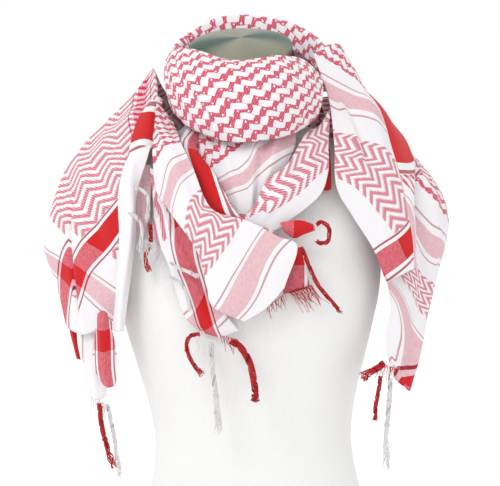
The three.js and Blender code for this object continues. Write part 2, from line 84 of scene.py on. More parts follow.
DRAPE_LEFT = [  # inner edge, front, crease, side, back, blade, nape
    [(-106, 8, 702), (-109, 16, 716), (-110, 26, 722), (-111, 40, 722),
     (-92, 67, 688), (-48, 98, 682), (38, 101, 682)],
    [(-108, -20, 676), (-117, -4, 686), (-126, 12, 692), (-133, 30, 696),
     (-116, 92, 662), (-40, 112, 658), (60, 115, 656)],
    [(-114, -48, 640), (-136, -22, 659), (-153, 2, 663), (-167, 26, 661),
     (-146, 97, 632), (-44, 119, 630), (74, 117, 630)],
    [(-128, -70, 616), (-158, -42, 631), (-182, -12, 634), (-202, 18, 628),
     (-180, 94, 602), (-50, 122, 602), (84, 117, 604)],
    [(-150, -86, 584), (-176, -60, 596), (-203, -28, 599), (-226, 12, 597),
     (-206, 88, 565), (-58, 124, 572), (90, 116, 580)],
    [(-152, -91, 548), (-182, -70, 551), (-216, -42, 553), (-246, 5, 547),
     (-230, 80, 525), (-66, 124, 546), (92, 116, 558)],
    [(-154, -92, 512), (-183, -74, 507), (-217, -48, 508), (-256, 0, 508),
     (-236, 66, 500), (-74, 123, 528), (90, 116, 542)],
    [(-158, -92, 469), (-185, -76, 460), (-215, -52, 460), (-245, -5, 462),
     (-226, 50, 480), (-84, 121, 516), (84, 116, 530)],
    [(-162, -92, 422), (-188, -78, 406), (-211, -58, 399), (-232, -30, 416),
     (-215, 28, 465), (-96, 118, 508), (76, 117, 522)],
]
DRAPE_LEFT_FOLD = [  # outer edge, middle, inner edge
    [(-113, -20, 688), (-106, -24, 690), (-99, -22, 686)],
    [(-130, -38, 664), (-116, -46, 667), (-103, -44, 664)],
    [(-138, -60, 638), (-122, -70, 640), (-108, -68, 641)],
    [(-143, -78, 614), (-128, -86, 618), (-115, -82, 624)],
]
DRAPE_LEFT_EDGE = [  # outer edge, middle, inner edge
    [(-139, -90, 624), (-126, -96, 629), (-113, -91, 632)],
    [(-149, -98, 603), (-134, -104, 606), (-119, -98, 612)],
    [(-154, -101, 567), (-143, -108, 567), (-133, -101, 571)],
    [(-155, -102, 519), (-145, -110, 516), (-136, -102, 518)],
    [(-160, -102, 464), (-152, -109, 463), (-145, -102, 463)],
    [(-167, -101, 408), (-160, -107, 407), (-155, -101, 408)],
]
DRAPE_LEFT_TIP = [  # outer edge, middle, inner edge
    [(-208, -40, 436), (-188, -54, 438), (-168, -70, 440)],
    [(-211, -46, 391), (-188, -64, 393), (-171, -74, 388)],
    [(-208, -54, 353), (-191, -68, 353), (-175, -68, 352)],
    [(-204, -58, 321), (-192, -66, 317), (-181, -62, 321)],
]
DRAPE_LEFT_ROLL = [  # outer edge, middle, inner edge
    [(-184, -102, 430), (-178, -110, 434), (-173, -103, 430)],
    [(-192, -92, 389), (-177, -102, 389), (-165, -94, 388)],
    [(-193, -84, 359), (-178, -93, 358), (-165, -84, 355)],
    [(-182, -78, 337), (-175, -83, 335), (-168, -78, 337)],
]
DRAPE_LEFT_TAIL = [  # outer edge, middle, inner edge
    [(-227, -24, 428), (-221, -32, 424), (-215, -28, 420)],
    [(-226, -34, 404), (-221, -40, 402), (-217, -36, 398)],
    [(-222, -40, 386), (-219, -44, 384), (-216, -41, 382)],
    [(-217, -44, 367), (-215, -46, 366), (-213, -44, 365)],
]
DRAPE_LEFT_INNER = [  # outer edge, middle, inner edge
    [(-134, -80, 605), (-126, -84, 607), (-114, -84, 608)],
    [(-139, -82, 586), (-127, -87, 588), (-114, -86, 590)],
    [(-141, -86, 560), (-130, -92, 558), (-117, -92, 556)],
    [(-141, -88, 530), (-132, -94, 526), (-122, -94, 528)],
]
DRAPE_RIGHT = [  # inner edge, front, fold edge, turned under
    [(90, 2, 736), (111, 14, 748), (128, 36, 746), (126, 72, 724)],
    [(107, -24, 684), (134, -2, 695), (154, 30, 698), (154, 72, 678)],
    [(111, -62, 630), (143, -38, 652), (175, 4, 664), (190, 50, 648)],
    [(111, -90, 576), (150, -72, 598), (190, -38, 604), (213, -2, 602)],
    [(129, -98, 539), (162, -88, 550), (198, -64, 559), (209, -52, 556)],
    [(153, -104, 498), (178, -95, 507), (203, -77, 514), (208, -69, 512)],
    [(168, -104, 458), (186, -98, 464), (205, -84, 471), (208, -78, 469)],
]
DRAPE_RIGHT_OUTER = [  # inner edge, front, side, back, blade, nape
    [(97, 30, 682), (110, 46, 682), (114, 62, 683), (92, 84, 680), (22, 116, 678), (-58, 111, 678)],
    [(106, -10, 652), (138, 16, 664), (156, 44, 668), (150, 96, 646), (54, 128, 648), (-50, 126, 648)],
    [(124, -40, 616), (160, -12, 634), (184, 30, 634), (188, 98, 618), (72, 131, 622), (-34, 132, 618)],
    [(142, -62, 574), (183, -22, 602), (212, 24, 598), (216, 94, 588), (90, 131, 598), (-14, 134, 588)],
    [(155, -74, 525), (205, -38, 560), (241, 15, 566), (236, 86, 556), (108, 128, 570), (8, 134, 560)],
    [(165, -80, 479), (215, -52, 512), (254, 5, 529), (244, 74, 522), (124, 122, 546), (28, 132, 540)],
    [(172, -82, 447), (213, -60, 466), (247, -5, 485), (236, 58, 496), (138, 116, 526), (46, 129, 524)],
    [(174, -85, 420), (204, -67, 423), (235, -20, 436),
     (226, 42, 478), (150, 107, 514), (62, 126, 512)],
    [(168, -85, 392), (196, -69, 386), (221, -38, 390), (222, 18, 458), (160, 98, 504), (76, 122, 504)],
    [(169, -83, 361), (190, -71, 351), (210, -52, 352), (218, -6, 440), (168, 88, 496), (88, 118, 498)],
    [(179, -77, 332), (189, -71, 323), (199, -60, 324),
     (212, -26, 420), (176, 78, 488), (98, 114, 494)],
]
CHEST_FLAP = [  # lower edge, middle, upper edge
    [(-106, -42, 682), (-98, -40, 673), (-87, -42, 659)],
    [(-109, -66, 655), (-95, -68, 650), (-81, -68, 645)],
    [(-111, -90, 626), (-91, -102, 630), (-76, -98, 634)],
    [(-108, -110, 581), (-84, -126, 598), (-62, -122, 605)],
    [(-94, -124, 557), (-64, -142, 564), (-40, -136, 556)],
    [(-61, -140, 508), (-27, -152, 526), (4, -144, 539)],
    [(-50, -148, 467), (-7, -157, 487), (37, -150, 521)],
    [(-43, -148, 439), (7, -156, 458), (60, -152, 508)],
    [(-6, -145, 419), (21, -152, 436), (43, -150, 459)],
]
CHEST_RED_BAND = [  # lower edge, middle, upper edge
    [(-70, -54, 650), (-62, -58, 648), (-54, -62, 646)],
    [(-78, -84, 631), (-68, -88, 632), (-57, -88, 625)],
    [(-69, -106, 599), (-54, -110, 602), (-38, -110, 599)],
    [(-45, -122, 558), (-33, -126, 566), (-24, -125, 572)],
    [(-10, -134, 529), (-7, -136, 536), (-5, -135, 543)],
    [(23, -139, 513), (28, -141, 520), (33, -140, 527)],
]
CHEST_COWL = [  # left edge, left fold, middle, right fold, right edge
    [(-48, -44, 660), (-28, -60, 652), (2, -68, 649), (30, -62, 654), (50, -44, 662)],
    [(-60, -72, 631), (-34, -88, 624), (1, -96, 620), (36, -88, 624), (64, -68, 633)],
    [(-46, -94, 598), (-25, -106, 591), (1, -112, 587), (26, -106, 591), (50, -88, 600)],
    [(-30, -106, 564), (-14, -113, 559), (2, -117, 556), (15, -112, 560), (30, -102, 565)],
    [(-19, -114, 538), (-8, -118, 535), (2, -120, 533), (12, -116, 535), (23, -110, 539)],
]
CHEST_PANEL = [  # left edge, middle, right edge
    [(80, -52, 643), (95, -49, 650), (108, -37, 668)],
    [(72, -74, 634), (87, -73, 632), (105, -59, 630)],
    [(52, -100, 604), (79, -105, 600), (101, -90, 591)],
    [(25, -118, 585), (56, -124, 572), (88, -112, 564)],
    [(12, -127, 558), (30, -131, 549), (51, -127, 537)],
    [(-7, -128, 540), (8, -132, 531), (25, -131, 521)],
]
CHEST_UNDER = [  # outer edge, middle, inner edge
    [(-115, -92, 604), (-105, -95, 606), (-96, -96, 607)],
    [(-112, -100, 566), (-98, -107, 562), (-84, -110, 556)],
    [(-110, -108, 524), (-86, -120, 520), (-57, -127, 514)],
    [(-96, -118, 488), (-69, -130, 482), (-43, -136, 474)],
    [(-86, -122, 451), (-62, -133, 446), (-38, -138, 443)],
    [(-76, -125, 423), (-52, -133, 419), (-26, -136, 425)],
    [(-53, -126, 404), (-34, -131, 400), (-13, -133, 407)],
]
CHEST_CORNER = [  # upper edge, middle, lower edge
    [(40, -136, 536), (43, -138, 530), (46, -136, 524)],
    [(52, -137, 538), (55, -141, 528), (57, -137, 517)],
    [(66, -136, 538), (68, -139, 530), (68, -136, 521)],
    [(80, -131, 533), (82, -134, 529), (82, -131, 525)],
]
CHEST_CORNER_TAIL = [  # left edge, middle, right edge
    [(54, -130, 506), (59, -133, 506), (65, -130, 505)],
    [(47, -129, 476), (58, -133, 476), (70, -129, 478)],
    [(39, -128, 449), (57, -132, 452), (74, -128, 458)],
]
CHEST_SIDE = [  # left edge, middle, right edge
    [(94, -46, 632), (100, -46, 632), (105, -44, 630)],
    [(93, -70, 601), (100, -72, 600), (106, -70, 600)],
    [(92, -84, 573), (99, -86, 570), (105, -84, 571)],
]

# The rolled bands: turn about the neck in degrees, then radius and height of ridge, belly and foot.
WRAP_FRONT = [
    (-99, 90, 742, 97, 719, 91, 693),
    (-78, 87, 747, 99, 714, 91, 681),
    (-55, 84, 748, 108, 705, 96, 661),
    (-25, 89, 739, 122, 695, 107, 641),
    (0, 95, 732, 128, 687, 112, 633),
    (27, 92, 735, 125, 688, 110, 637),
    (52, 87, 733, 114, 692, 102, 650),
    (72, 89, 724, 105, 695, 98, 664),
    (86, 92, 714, 101, 696, 96, 676),
]
WRAP_BACK = [
    (101, 111, 743, 120, 718, 116, 692),
    (116, 110, 758, 123, 728, 119, 690),
    (138, 107, 776, 123, 737, 120, 688),
    (160, 102, 787, 120, 741, 118, 688),
    (180, 100, 790, 118, 743, 116, 688),
    (202, 98, 786, 114, 740, 112, 690),
    (226, 94, 770, 106, 734, 104, 694),
    (248, 89, 756, 98, 728, 96, 700),
    (260, 85, 749, 93, 725, 90, 703),
]

# The form: height, half width, depth in front, depth behind, squareness, lean towards the neck top.
FORM_LEVELS = [
    (0, 168, 108, 114, 2.2, 0), (8, 172, 112, 118, 2.2, 0), (50, 171, 113, 120, 2.2, 0),
    (100, 160, 109, 117, 2.2, 0), (150, 144, 102, 108, 2.2, 0), (200, 131, 94, 97, 2.2, 0),
    (250, 125, 90, 91, 2.2, 0), (300, 131, 97, 93, 2.2, 0), (350, 144, 111, 98, 2.25, 0),
    (400, 157, 123, 102, 2.3, 0), (440, 166, 125, 105, 2.3, 0), (490, 170, 115, 105, 2.4, 0),
    (540, 174, 100, 103, 2.4, 0), (580, 175, 79, 94, 2.3, 0), (604, 164, 66, 82, 2.2, 0),
    (622, 130, 59, 73, 2.1, 0), (640, 92, 56, 66, 2, 0), (656, 70, 55, 65, 2, 0.1),
    (680, 60, 54, 63, 2, 0.4), (712, 58, 54, 62, 2, 0.8), (NECK_TOP, 60, 55, 63, 2, 1),
]

# ---- Curves and surfaces ------------------------------------------------------------------------

NET = 26  # a flat shape is settled on a net of this many steps each way
LINKS = ((0, 1), (1, 0), (1, 1), (1, -1))  # along, down and both ways across each of its cells
SETTLING = 500  # rounds of pulling
PULL = 0.11  # how much of a link's error each of its ends takes up in a round
SCALE_HOLD = 30  # how strongly the weave keeps its true scale, where few places are known
BEND_REACH = 55  # how far round a known place the weave bends to meet it
BEND_EASE = 0.05  # how loosely it does


def knot_weights(knots, places):
    """Each knot's share of a smooth curve at each place from 0 to 1. The ends are reflected."""
    shares = np.zeros((len(places), knots))
    for row, place in enumerate(np.clip(places, 0, 1) * (knots - 1)):
        index = min(int(place), knots - 2)
        s = place - index
        near = (-s + 2 * s**2 - s**3, 2 - 5 * s**2 + 3 * s**3, s + 4 * s**2 - 3 * s**3, s**3 - s**2)
        for knot, share in zip(range(index - 1, index + 3), near):
            if knot < 0:
                shares[row, 0] += share
                shares[row, 1] -= share / 2
            elif knot >= knots:
                shares[row, -1] += share
                shares[row, -2] -= share / 2
            else:
                shares[row, knot] += share / 2
    return shares


def spread(table, down, across):
    """A table of points made into a fine smooth grid, down and across being the places wanted."""
    table = np.asarray(table, float)
    rows = knot_weights(table.shape[0], down)
    columns = knot_weights(table.shape[1], across)
    return np.einsum("dr,rcx,ac->dax", rows, table, columns)


def steps(count):
    return np.linspace(0, 1, count + 1)

def linked(net, down, across):
    """The two ends of every link of one kind in a net."""
    rows, columns = net.shape[:2]
    left, right = max(0, -across), max(0, across)
    return net[: rows - down, left : columns - right], net[down:, right : columns - left]


def flatten(table):
    """The stretch of cloth laid flat: a net with its true lengths settles in a plane."""
    net = spread(table, steps(NET), steps(NET))
    lengths = [np.linalg.norm(np.subtract(*linked(net, *link)), axis=2) for link in LINKS]
    flat = np.zeros((NET + 1, NET + 1, 2))
    flat[:, 1:, 0] = np.cumsum(lengths[0], axis=1)
    flat[1:, :, 1] = np.cumsum(lengths[1], axis=0)
    flat[:, :, 0] -= flat[:, NET // 2 : NET // 2 + 1, 0]
    for _ in range(SETTLING):
        move = np.zeros_like(flat)
        for link, length in zip(LINKS, lengths):
            start, end = linked(flat, *link)
            gap = end - start
            reach = np.linalg.norm(gap, axis=2)
            pull = gap * ((reach - length) / np.maximum(reach, 0.01))[:, :, None] * PULL
            to_start, to_end = linked(move, *link)
            to_start += pull
            to_end -= pull
        flat += move
    return flat

def weave_places(spot, fine, lay):
    """The weave's own coordinates (mm from the scarf's side and from its fringed end) at each point.

    lay has the turn of the fringe-to-middle direction on the flat sheet, in degrees, which hand
    the other direction is on, and known places (across, down) by distance for "side" and "end"."""
    turn = math.radians(lay["turn"])
    inwards = np.array([math.cos(turn), math.sin(turn)])
    sideways = lay["hand"] * np.array([-math.sin(turn), math.cos(turn)])
    found = []
    for straight, known in ((sideways, lay["side"]), (inwards, lay["end"])):
        spots = np.array([spot(*place) for places in known.values() for place in places])
        wanted = np.array([distance for distance, places in known.items() for _ in places], float)
        middle = spots.mean(axis=0)
        centred = spots - middle
        hold = len(spots) * SCALE_HOLD**2
        slope = np.linalg.solve(
            centred.T @ centred + hold * np.eye(2),
            centred.T @ (wanted - wanted.mean()) + hold * straight,
        )
        rest = wanted - wanted.mean() - centred @ slope

        def nearness(points):
            return np.exp(-((np.linalg.norm(points[..., None, :] - spots, axis=-1) / BEND_REACH) ** 2))

        bend = np.linalg.solve(nearness(spots) + BEND_EASE * np.eye(len(spots)), rest)
        found.append((fine - middle) @ slope + wanted.mean() + nearness(fine) @ bend)
    woven = np.stack(found, axis=-1)
    if "folded" in lay:
        column, other = lay["folded"]
        start = round(column * (fine.shape[1] - 1))
        woven[:, start:] = weave_places(spot, fine, other)[:, start:]
    return woven


def smooth(x):
    x = np.clip(x, 0, 1)
    return x * x * (3 - 2 * x)


# ---- Meshes -------------------------------------------------------------------------------------

MAP_EDGE, MAP_SIDE = 0.01, 0.48  # margin and width of one side of the cloth in its baking map


def mesh_object(name, points, faces, material, maps=None):
    """A smooth mesh from points in millimetres. maps gives each corner's place in each UV map."""
    mesh = bpy.data.meshes.new(name)
    mesh.from_pydata((np.asarray(points) * MM).tolist(), [], faces)
    for map_name, corners in (maps or {}).items():
        layer = mesh.uv_layers.new(name=map_name)
        layer.uv.foreach_set("vector", np.asarray(corners, np.float32).ravel())
    mesh.polygons.foreach_set("use_smooth", [True] * len(faces))
    mesh.materials.append(material)
    made = bpy.data.objects.new(name, mesh)
    bpy.context.scene.collection.objects.link(made)
    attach(made, "root")
    return made


def normals_of(grid):
    down, across = np.gradient(grid, axis=(0, 1))
    square = np.cross(across, down)
    return square / np.maximum(np.linalg.norm(square, axis=2, keepdims=True), 1e-9)


def shell(name, grid, weave, material):
    """A closed cloth wall on a fine grid, with the weave's places and a baking map on it."""
    rows, columns = grid.shape[:2]
    square = normals_of(grid) * CLOTH / 2
    points = np.concatenate([(grid + square).reshape(-1, 3), (grid - square).reshape(-1, 3)])
    index = np.arange(rows * columns).reshape(rows, columns)
    top = np.stack([index[:-1, :-1], index[:-1, 1:], index[1:, 1:], index[1:, :-1]], -1).reshape(-1, 4)
    under = top[:, ::-1] + rows * columns
    ring = np.concatenate([index[0, :-1], index[:-1, -1], index[-1, :0:-1], index[:0:-1, 0]])
    after = np.roll(ring, -1)
    rim = np.stack([ring, ring + rows * columns, after + rows * columns, after], -1)
    faces = np.concatenate([top, under, rim])
    # The baking map: the outer side on the left half, the inner on the right, the rim in thin slivers.
    across, down = np.meshgrid(steps(columns - 1), steps(rows - 1))
    top_map = np.stack([MAP_EDGE + MAP_SIDE * across, MAP_EDGE + 0.98 * down], -1).reshape(-1, 2)
    bake = np.concatenate([top_map, top_map + (0.5, 0)])[faces]
    walls = bake[len(top) + len(under) :]
    for corner, source in ((1, ring), (2, after)):
        walls[:, corner] = top_map[source] + MAP_EDGE * ((0.25, 0.5) - top_map[source])
    walls[:, 3] = top_map[after]
    places = np.concatenate([weave.reshape(-1, 2)] * 2)[faces] * MM
    maps = {"weave": places.reshape(-1, 2), "OFBake": bake.reshape(-1, 2)}
    return mesh_object(name, points, faces.tolist(), material, maps)


def ring_faces(count, around):
    """The numbers of the points in a stack of rings, and the faces that join one ring to the next."""
    index = np.arange(count * around).reshape(count, around)
    turned = np.roll(index, -1, axis=1)
    return index, np.stack([index[:-1], turned[:-1], turned[1:], index[1:]], -1).reshape(-1, 4).tolist()


def closed_rings(rings, foot, top):
    """The points and faces of a solid from rings of points, with a fan round a point at each end."""
    count, around = rings.shape[:2]
    index, faces = ring_faces(count, around)
    for k in range(around):
        faces.append([index[0, k], count * around, index[0, (k + 1) % around]])
    for k in range(around):
        faces.append([index[-1, k], index[-1, (k + 1) % around], count * around + 1])
    return np.vstack([rings.reshape(-1, 3), foot, top]), faces


# ---- Cloth --------------------------------------------------------------------------------------

FADE_LONG, FADE_START = 0.3, 0.35  # a crease fades in and out over this share of its length
CREASE_SHARP = 1.6
SWELLS = 26  # slight waves added together on each sheet
SWELL_SHORT, SWELL_LONG = 22, 110


def crease_heights(spot, fine, creases):
    """How far each fine point stands out of the sheet (mm), and how much cloth each fold hides.

    A crease is (across, down) of its two ends, its half width and its height (mm, minus for a
    trough), and the millimetres of cloth that it takes up, if any."""
    height = np.zeros(fine.shape[:2])
    hidden = np.zeros_like(fine)
    for start, end, width, rise, *taken in creases:
        first, last = spot(*start), spot(*end)
        length = np.linalg.norm(last - first)
        along = (last - first) / length
        out = np.array([-along[1], along[0]])
        run = (fine - first) @ along / length
        side = (fine - first) @ out
        ends = smooth(run / FADE_LONG + FADE_START) * smooth((1 - run) / FADE_LONG + FADE_START)
        height += rise * np.exp(-np.abs(side / width) ** CREASE_SHARP) * ends
        if taken:
            past = taken[0] * ends * smooth(side / width / 2 + 0.5)
            hidden += past[:, :, None] * out
    return height, hidden


def rumple(fine, seed, size):
    """Small uneven waves all over a sheet (mm): many slight swells of different lengths and ways."""
    draw = np.random.default_rng(seed)
    x, y = fine[:, :, 0], fine[:, :, 1]
    total = np.zeros(fine.shape[:2])
    for _ in range(SWELLS):
        length = draw.uniform(SWELL_SHORT, SWELL_LONG)
        way, start = draw.uniform(0, math.pi), draw.uniform(0, 6.3)
        bend = 0.8 * np.sin(x / 47 + start * 3) + 0.8 * np.sin(y / 39 - start)
        wave = x * math.cos(way) + y * math.sin(way)
        total += np.sin(wave * 2 * math.pi / length + start + bend) * (length / SWELL_LONG) ** 0.8
    return total * size / 3


def flat_size(flat):
    """The width and length of the smallest upright oblong round a flattened sheet, in metres."""
    width, length = np.ptp(flat.reshape(-1, 2), axis=0) * MM
    return float(width), float(length)


def flat_area(flat):
    """A flattened sheet's area in square metres."""
    first = flat[1:, 1:] - flat[:-1, :-1]
    second = flat[1:, :-1] - flat[:-1, 1:]
    return float(np.abs(first[..., 0] * second[..., 1] - first[..., 1] * second[..., 0]).sum() / 2 * MM**2)


def cloth(name, table, lay, creases, fine, waves, seed):
    """One stretch of the scarf. lay says how the weave lies on it: see weave_places."""
    down, across = steps(fine[1]), steps(fine[0])
    grid = spread(table, down, across)
    flat = flatten(table)
    places = spread(flat, down, across)

    def spot(place_across, place_down):
        return spread(flat, [place_down], [place_across])[0, 0]

    height, hidden = crease_heights(spot, places, creases)
    height += rumple(places, seed, waves)
    weave = weave_places(spot, places + hidden, lay)
    grid = grid + normals_of(grid) * height[:, :, None]
    made = shell(name, grid, weave, scarf_cotton())
    return made, flat_size(flat), flat_area(flat)


# ---- Materials ----------------------------------------------------------------------------------


class Graph:
    """A material's node tree, with its sums written as short calls."""

    def __init__(self, name, **settings):
        self.material = bpy.data.materials.new(name)
        self.material.use_nodes = True
        self.nodes = self.material.node_tree.nodes
        self.links = self.material.node_tree.links
        self.shader = self.nodes["Principled BSDF"]
        for socket, value in settings.items():
            self.shader.inputs[socket.replace("_", " ")].default_value = value

    def put(self, socket, value):
        if isinstance(value, bpy.types.NodeSocket):
            self.links.new(value, socket)
        else:
            socket.default_value = value

    def math(self, operation, *values):
        node = self.nodes.new("ShaderNodeMath")
        node.operation = operation
        for socket, value in zip(node.inputs, values):
            self.put(socket, value)
        return node.outputs[0]

    def chain(self, operation, values):
        total, *others = values
        for value in others:
            total = self.math(operation, total, value)
        return total

    def add(self, *values):
        return self.chain("ADD", values)

    def times(self, *values):
        return self.chain("MULTIPLY", values)

    def most(self, *values):
        return self.chain("MAXIMUM", values)

    def minus(self, a, b):
        return self.math("SUBTRACT", a, b)

    def size(self, a):
        return self.math("ABSOLUTE", a)

    def above(self, a, b):
        return self.math("GREATER_THAN", a, b)

    def below(self, a, b):
        return self.math("LESS_THAN", a, b)

    def share(self, a):
        """a, but at most 1."""
        return self.math("MINIMUM", a, 1.0)

    def wave(self, a, length, shift=0.0):
        return self.math("SINE", self.add(self.times(a, 2 * math.pi / length), shift))

    def part(self, a, length):
        """How far a is into its repeat, from 0 to 1."""
        return self.math("FRACT", self.math("DIVIDE", a, length))

    def repeat(self, a, length):
        """a folded into one repeat, from -length / 2 to length / 2."""
        return self.times(self.minus(self.part(a, length), 0.5), length)

    def within(self, a, stripes):
        return self.most(*(self.times(self.above(a, low), self.below(a, high)) for low, high in stripes))

    def mix(self, share, first, second):
        node = self.nodes.new("ShaderNodeMix")
        node.data_type = "RGBA"
        self.put(node.inputs["Factor"], share)
        self.put(node.inputs["A"], first)
        self.put(node.inputs["B"], second)
        return node.outputs["Result"]

    def places(self, map_name):
        """A UV map, then its two numbers one by one."""
        node = self.nodes.new("ShaderNodeUVMap")
        node.uv_map = map_name
        parts = self.nodes.new("ShaderNodeSeparateXYZ")
        self.links.new(node.outputs["UV"], parts.inputs[0])
        return node.outputs["UV"], parts.outputs["X"], parts.outputs["Y"]

    def scaled(self, vector, amount):
        node = self.nodes.new("ShaderNodeVectorMath")
        node.operation = "SCALE"
        self.links.new(vector, node.inputs[0])
        node.inputs["Scale"].default_value = amount
        return node.outputs[0]

    def noise(self, scale, detail, place=None):
        node = self.nodes.new("ShaderNodeTexNoise")
        node.inputs["Scale"].default_value = scale
        node.inputs["Detail"].default_value = detail
        if place is None:
            place = self.nodes.new("ShaderNodeTexCoord").outputs["Object"]
        self.links.new(place, node.inputs["Vector"])
        return node.outputs["Fac"]

    def bump(self, height, strength, distance):
        node = self.nodes.new("ShaderNodeBump")
        node.inputs["Strength"].default_value = strength
        node.inputs["Distance"].default_value = distance
        self.links.new(height, node.inputs["Height"])
        self.links.new(node.outputs["Normal"], self.shader.inputs["Normal"])

    def paint(self, tone):
        self.put(self.shader.inputs["Base Color"], tone)


def colour(red, green, blue):
    """A colour given as screen values from 0 to 255."""
    return (*((value / 255) ** 2.2 for value in (red, green, blue)), 1)


WHITE = colour(231, 228, 231)
RED = colour(196, 8, 20)
DARK_RED = colour(142, 10, 34)
PINK_RED = colour(196, 30, 74)


@cache
def scarf_cotton():
    """The weave, drawn in the cloth's own coordinates: bands, zigzags, net and plain white."""
    g = Graph("scarf_cotton", Roughness=0.88, Sheen_Weight=0.12, Sheen_Roughness=0.5)
    place, x, y = g.places("weave")
    side, counted_end = g.times(x, 1 / MM), g.times(y, 1 / MM)
    long_zigzag = g.above(counted_end, LONG_FROM)
    end = g.minus(counted_end, g.times(long_zigzag, LONG_COUNT))

    side_red = g.most(g.below(side, EDGE_RED), g.within(side, [WIDE_RED]))
    in_stripe = g.most(g.below(side, EDGE_STRIPE), g.within(side, [WIDE_STRIPE]))
    end_pink = g.within(end, PINK_STRIPES)
    zigzag_end = g.add(ZIGZAG_END, g.times(long_zigzag, LONG_EXTRA))
    in_zigzag = g.times(g.above(end, ZIGZAG_START), g.below(end, zigzag_end))
    in_net = g.above(end, NET_START)

    # Zigzag lines that run in from the fringe, stacked along it.
    bend = g.times(g.size(g.repeat(end, ZIGZAG_LONG)), ZIGZAG_WIDE / (ZIGZAG_LONG / 2))
    step_wave = g.wave(g.add(side, end), STEP_APART)
    beads = g.wave(g.add(end, g.times(side, 0.5)), BEAD_APART)
    edge = g.add(0.5, g.times(step_wave, 0.08), g.times(beads, 0.08))
    zigzag = g.below(g.part(g.add(side, bend), ZIGZAG_STEP), edge)

    # The net: white squares corner to corner in rows, slanting lozenges between the rows. The
    # hand-woven figures are never quite even.
    stray_side, stray_end = (
        g.add(distance, g.times(g.minus(g.noise(1.0, 1.0, g.scaled(place, lumps)), 0.5), UNEVEN))
        for distance, lumps in zip((side, end), UNEVEN_LUMPS)
    )
    u, v = g.repeat(stray_end, NET_STEP), g.repeat(stray_side, NET_ROW)
    square = g.below(g.add(g.size(u), g.size(v)), SQUARE)
    w = g.repeat(g.add(stray_side, NET_ROW / 2), NET_ROW)
    long_way, short_way = g.size(g.add(u, w)), g.size(g.minus(u, w))
    lozenge = g.times(g.below(long_way, LOZENGE_LONG), g.below(short_way, LOZENGE_SHORT))
    eye_u, eye_v = (g.minus(g.size(way), centre) for way, centre in zip((u, v), EYE_PLACE))
    eye = g.below(g.add(g.times(eye_u, eye_u), g.times(eye_v, eye_v)), EYE)
    net = g.minus(1, g.share(g.add(square, lozenge, eye)))

    # How much red thread lies on top. Where red crosses red it is solid, and over white it is half.
    figured = g.most(g.times(in_zigzag, zigzag), g.times(in_net, net))
    ground = g.most(in_zigzag, in_net, end_pink)
    fine_wave = g.times(g.wave(side, THREAD_APART), g.wave(end, THREAD_APART))
    uneven = g.noise(0.9, 3.0, g.scaled(place, 300))
    lumpy = g.minus(uneven, 0.5)
    over = g.add(RED_SHARE, g.times(fine_wave, 0.12), g.times(lumpy, 0.35))
    light = g.add(PINK_SHARE, g.times(fine_wave, 0.12), g.times(lumpy, 0.4))
    beside = g.minus(1, in_stripe)
    crossed = g.times(side_red, ground)
    over_white = g.times(side_red, g.minus(1, ground), over)
    pink = g.times(end_pink, g.minus(1, side_red), light)
    depth = g.add(FIGURE_SHARE, g.times(in_net, NET_MORE), g.times(step_wave, 0.12), g.times(beads, 0.14))
    drawn = g.times(figured, beside, depth)
    lines = g.most(
        g.times(g.within(side, SIDE_LINES), SIDE_LINE_SHARE),
        g.times(g.within(end, END_LINES), beside, END_LINE_SHARE),
    )
    tint = g.mix(g.share(g.add(crossed, g.times(over_white, 0.6))), PINK_RED, RED)
    tint = g.mix(g.share(lines), tint, DARK_RED)
    g.paint(g.mix(g.share(g.add(crossed, over_white, pink, drawn, lines)), WHITE, tint))
    g.bump(g.add(g.times(fine_wave, 0.5), g.times(uneven, 0.5), g.times(figured, 0.6)), 0.35, 0.0004)
    return g.material


YARN_TONES = {
    "red": (colour(200, 10, 24), colour(140, 6, 20)),
    "white": (colour(232, 230, 230), colour(205, 200, 202)),
}


@cache
def yarn(tone):
    """Twisted cotton yarn, its colour uneven along the strands."""
    light, dark = YARN_TONES[tone]
    g = Graph("fringe_" + tone, Roughness=0.9, Sheen_Weight=0.15, Sheen_Roughness=0.5)
    g.paint(g.mix(g.noise(420, 3.0), light, dark))
    g.bump(g.noise(1500, 2.0), 0.4, 0.0003)
    return g.material


RIB_APART, ROW_APART = 2.4 * MM, 1.6 * MM  # the jersey's upright ribs and its rows of knitting


def jersey():
    """Matt white jersey with a fine upright rib and faint shading in the knit."""
    g = Graph("form_jersey", Roughness=0.82, Sheen_Weight=0.1, Sheen_Roughness=0.6)
    _, around, up = g.places("knit")
    rib, row = g.wave(around, RIB_APART), g.wave(up, ROW_APART)
    share = g.add(0.25, g.times(g.minus(g.noise(9, 3.0), 0.5), 0.5), g.times(rib, 0.12))
    g.paint(g.mix(share, colour(232, 232, 231), colour(219, 219, 217)))
    g.bump(g.add(g.times(rib, 0.7), g.times(row, 0.25)), 0.35, 0.0005)
    return g.material


CAP_ROUGH = 0.34
SPUN_APART = 1.1 * MM  # one turned ring of the cap to the next


def chrome():
    """A spun cap: polished metal with fine rings, its tone turning in soft wedges round the axis, which
    are painted reflections: a pale painted highlight and a dark painted reflection.
    """
    g = Graph("cap_chrome", Metallic=0.9, Roughness=CAP_ROUGH)
    _, turn, out = g.places("spin")
    # painted reflection: broad wedges and narrower streaks round the axis stand in for the reflected
    # surroundings
    painted_reflection_wedge, painted_reflection_streak = g.wave(turn, 1 / 2, 1.1), g.wave(turn, 1 / 4, 0.4)
    rings = g.wave(out, SPUN_APART)
    share = g.add(0.5, g.times(painted_reflection_wedge, 0.38), g.times(painted_reflection_streak, 0.2))
    # the pale tone is a painted highlight and the dark grey-green tone a painted reflection of darker
    # surroundings
    g.paint(g.mix(g.share(g.most(share, 0.0)), colour(162, 158, 138), colour(50, 84, 74)))
    g.put(g.shader.inputs["Roughness"], g.add(CAP_ROUGH, g.times(rings, 0.05)))
    g.bump(rings, 0.15, 0.0001)
    return g.material


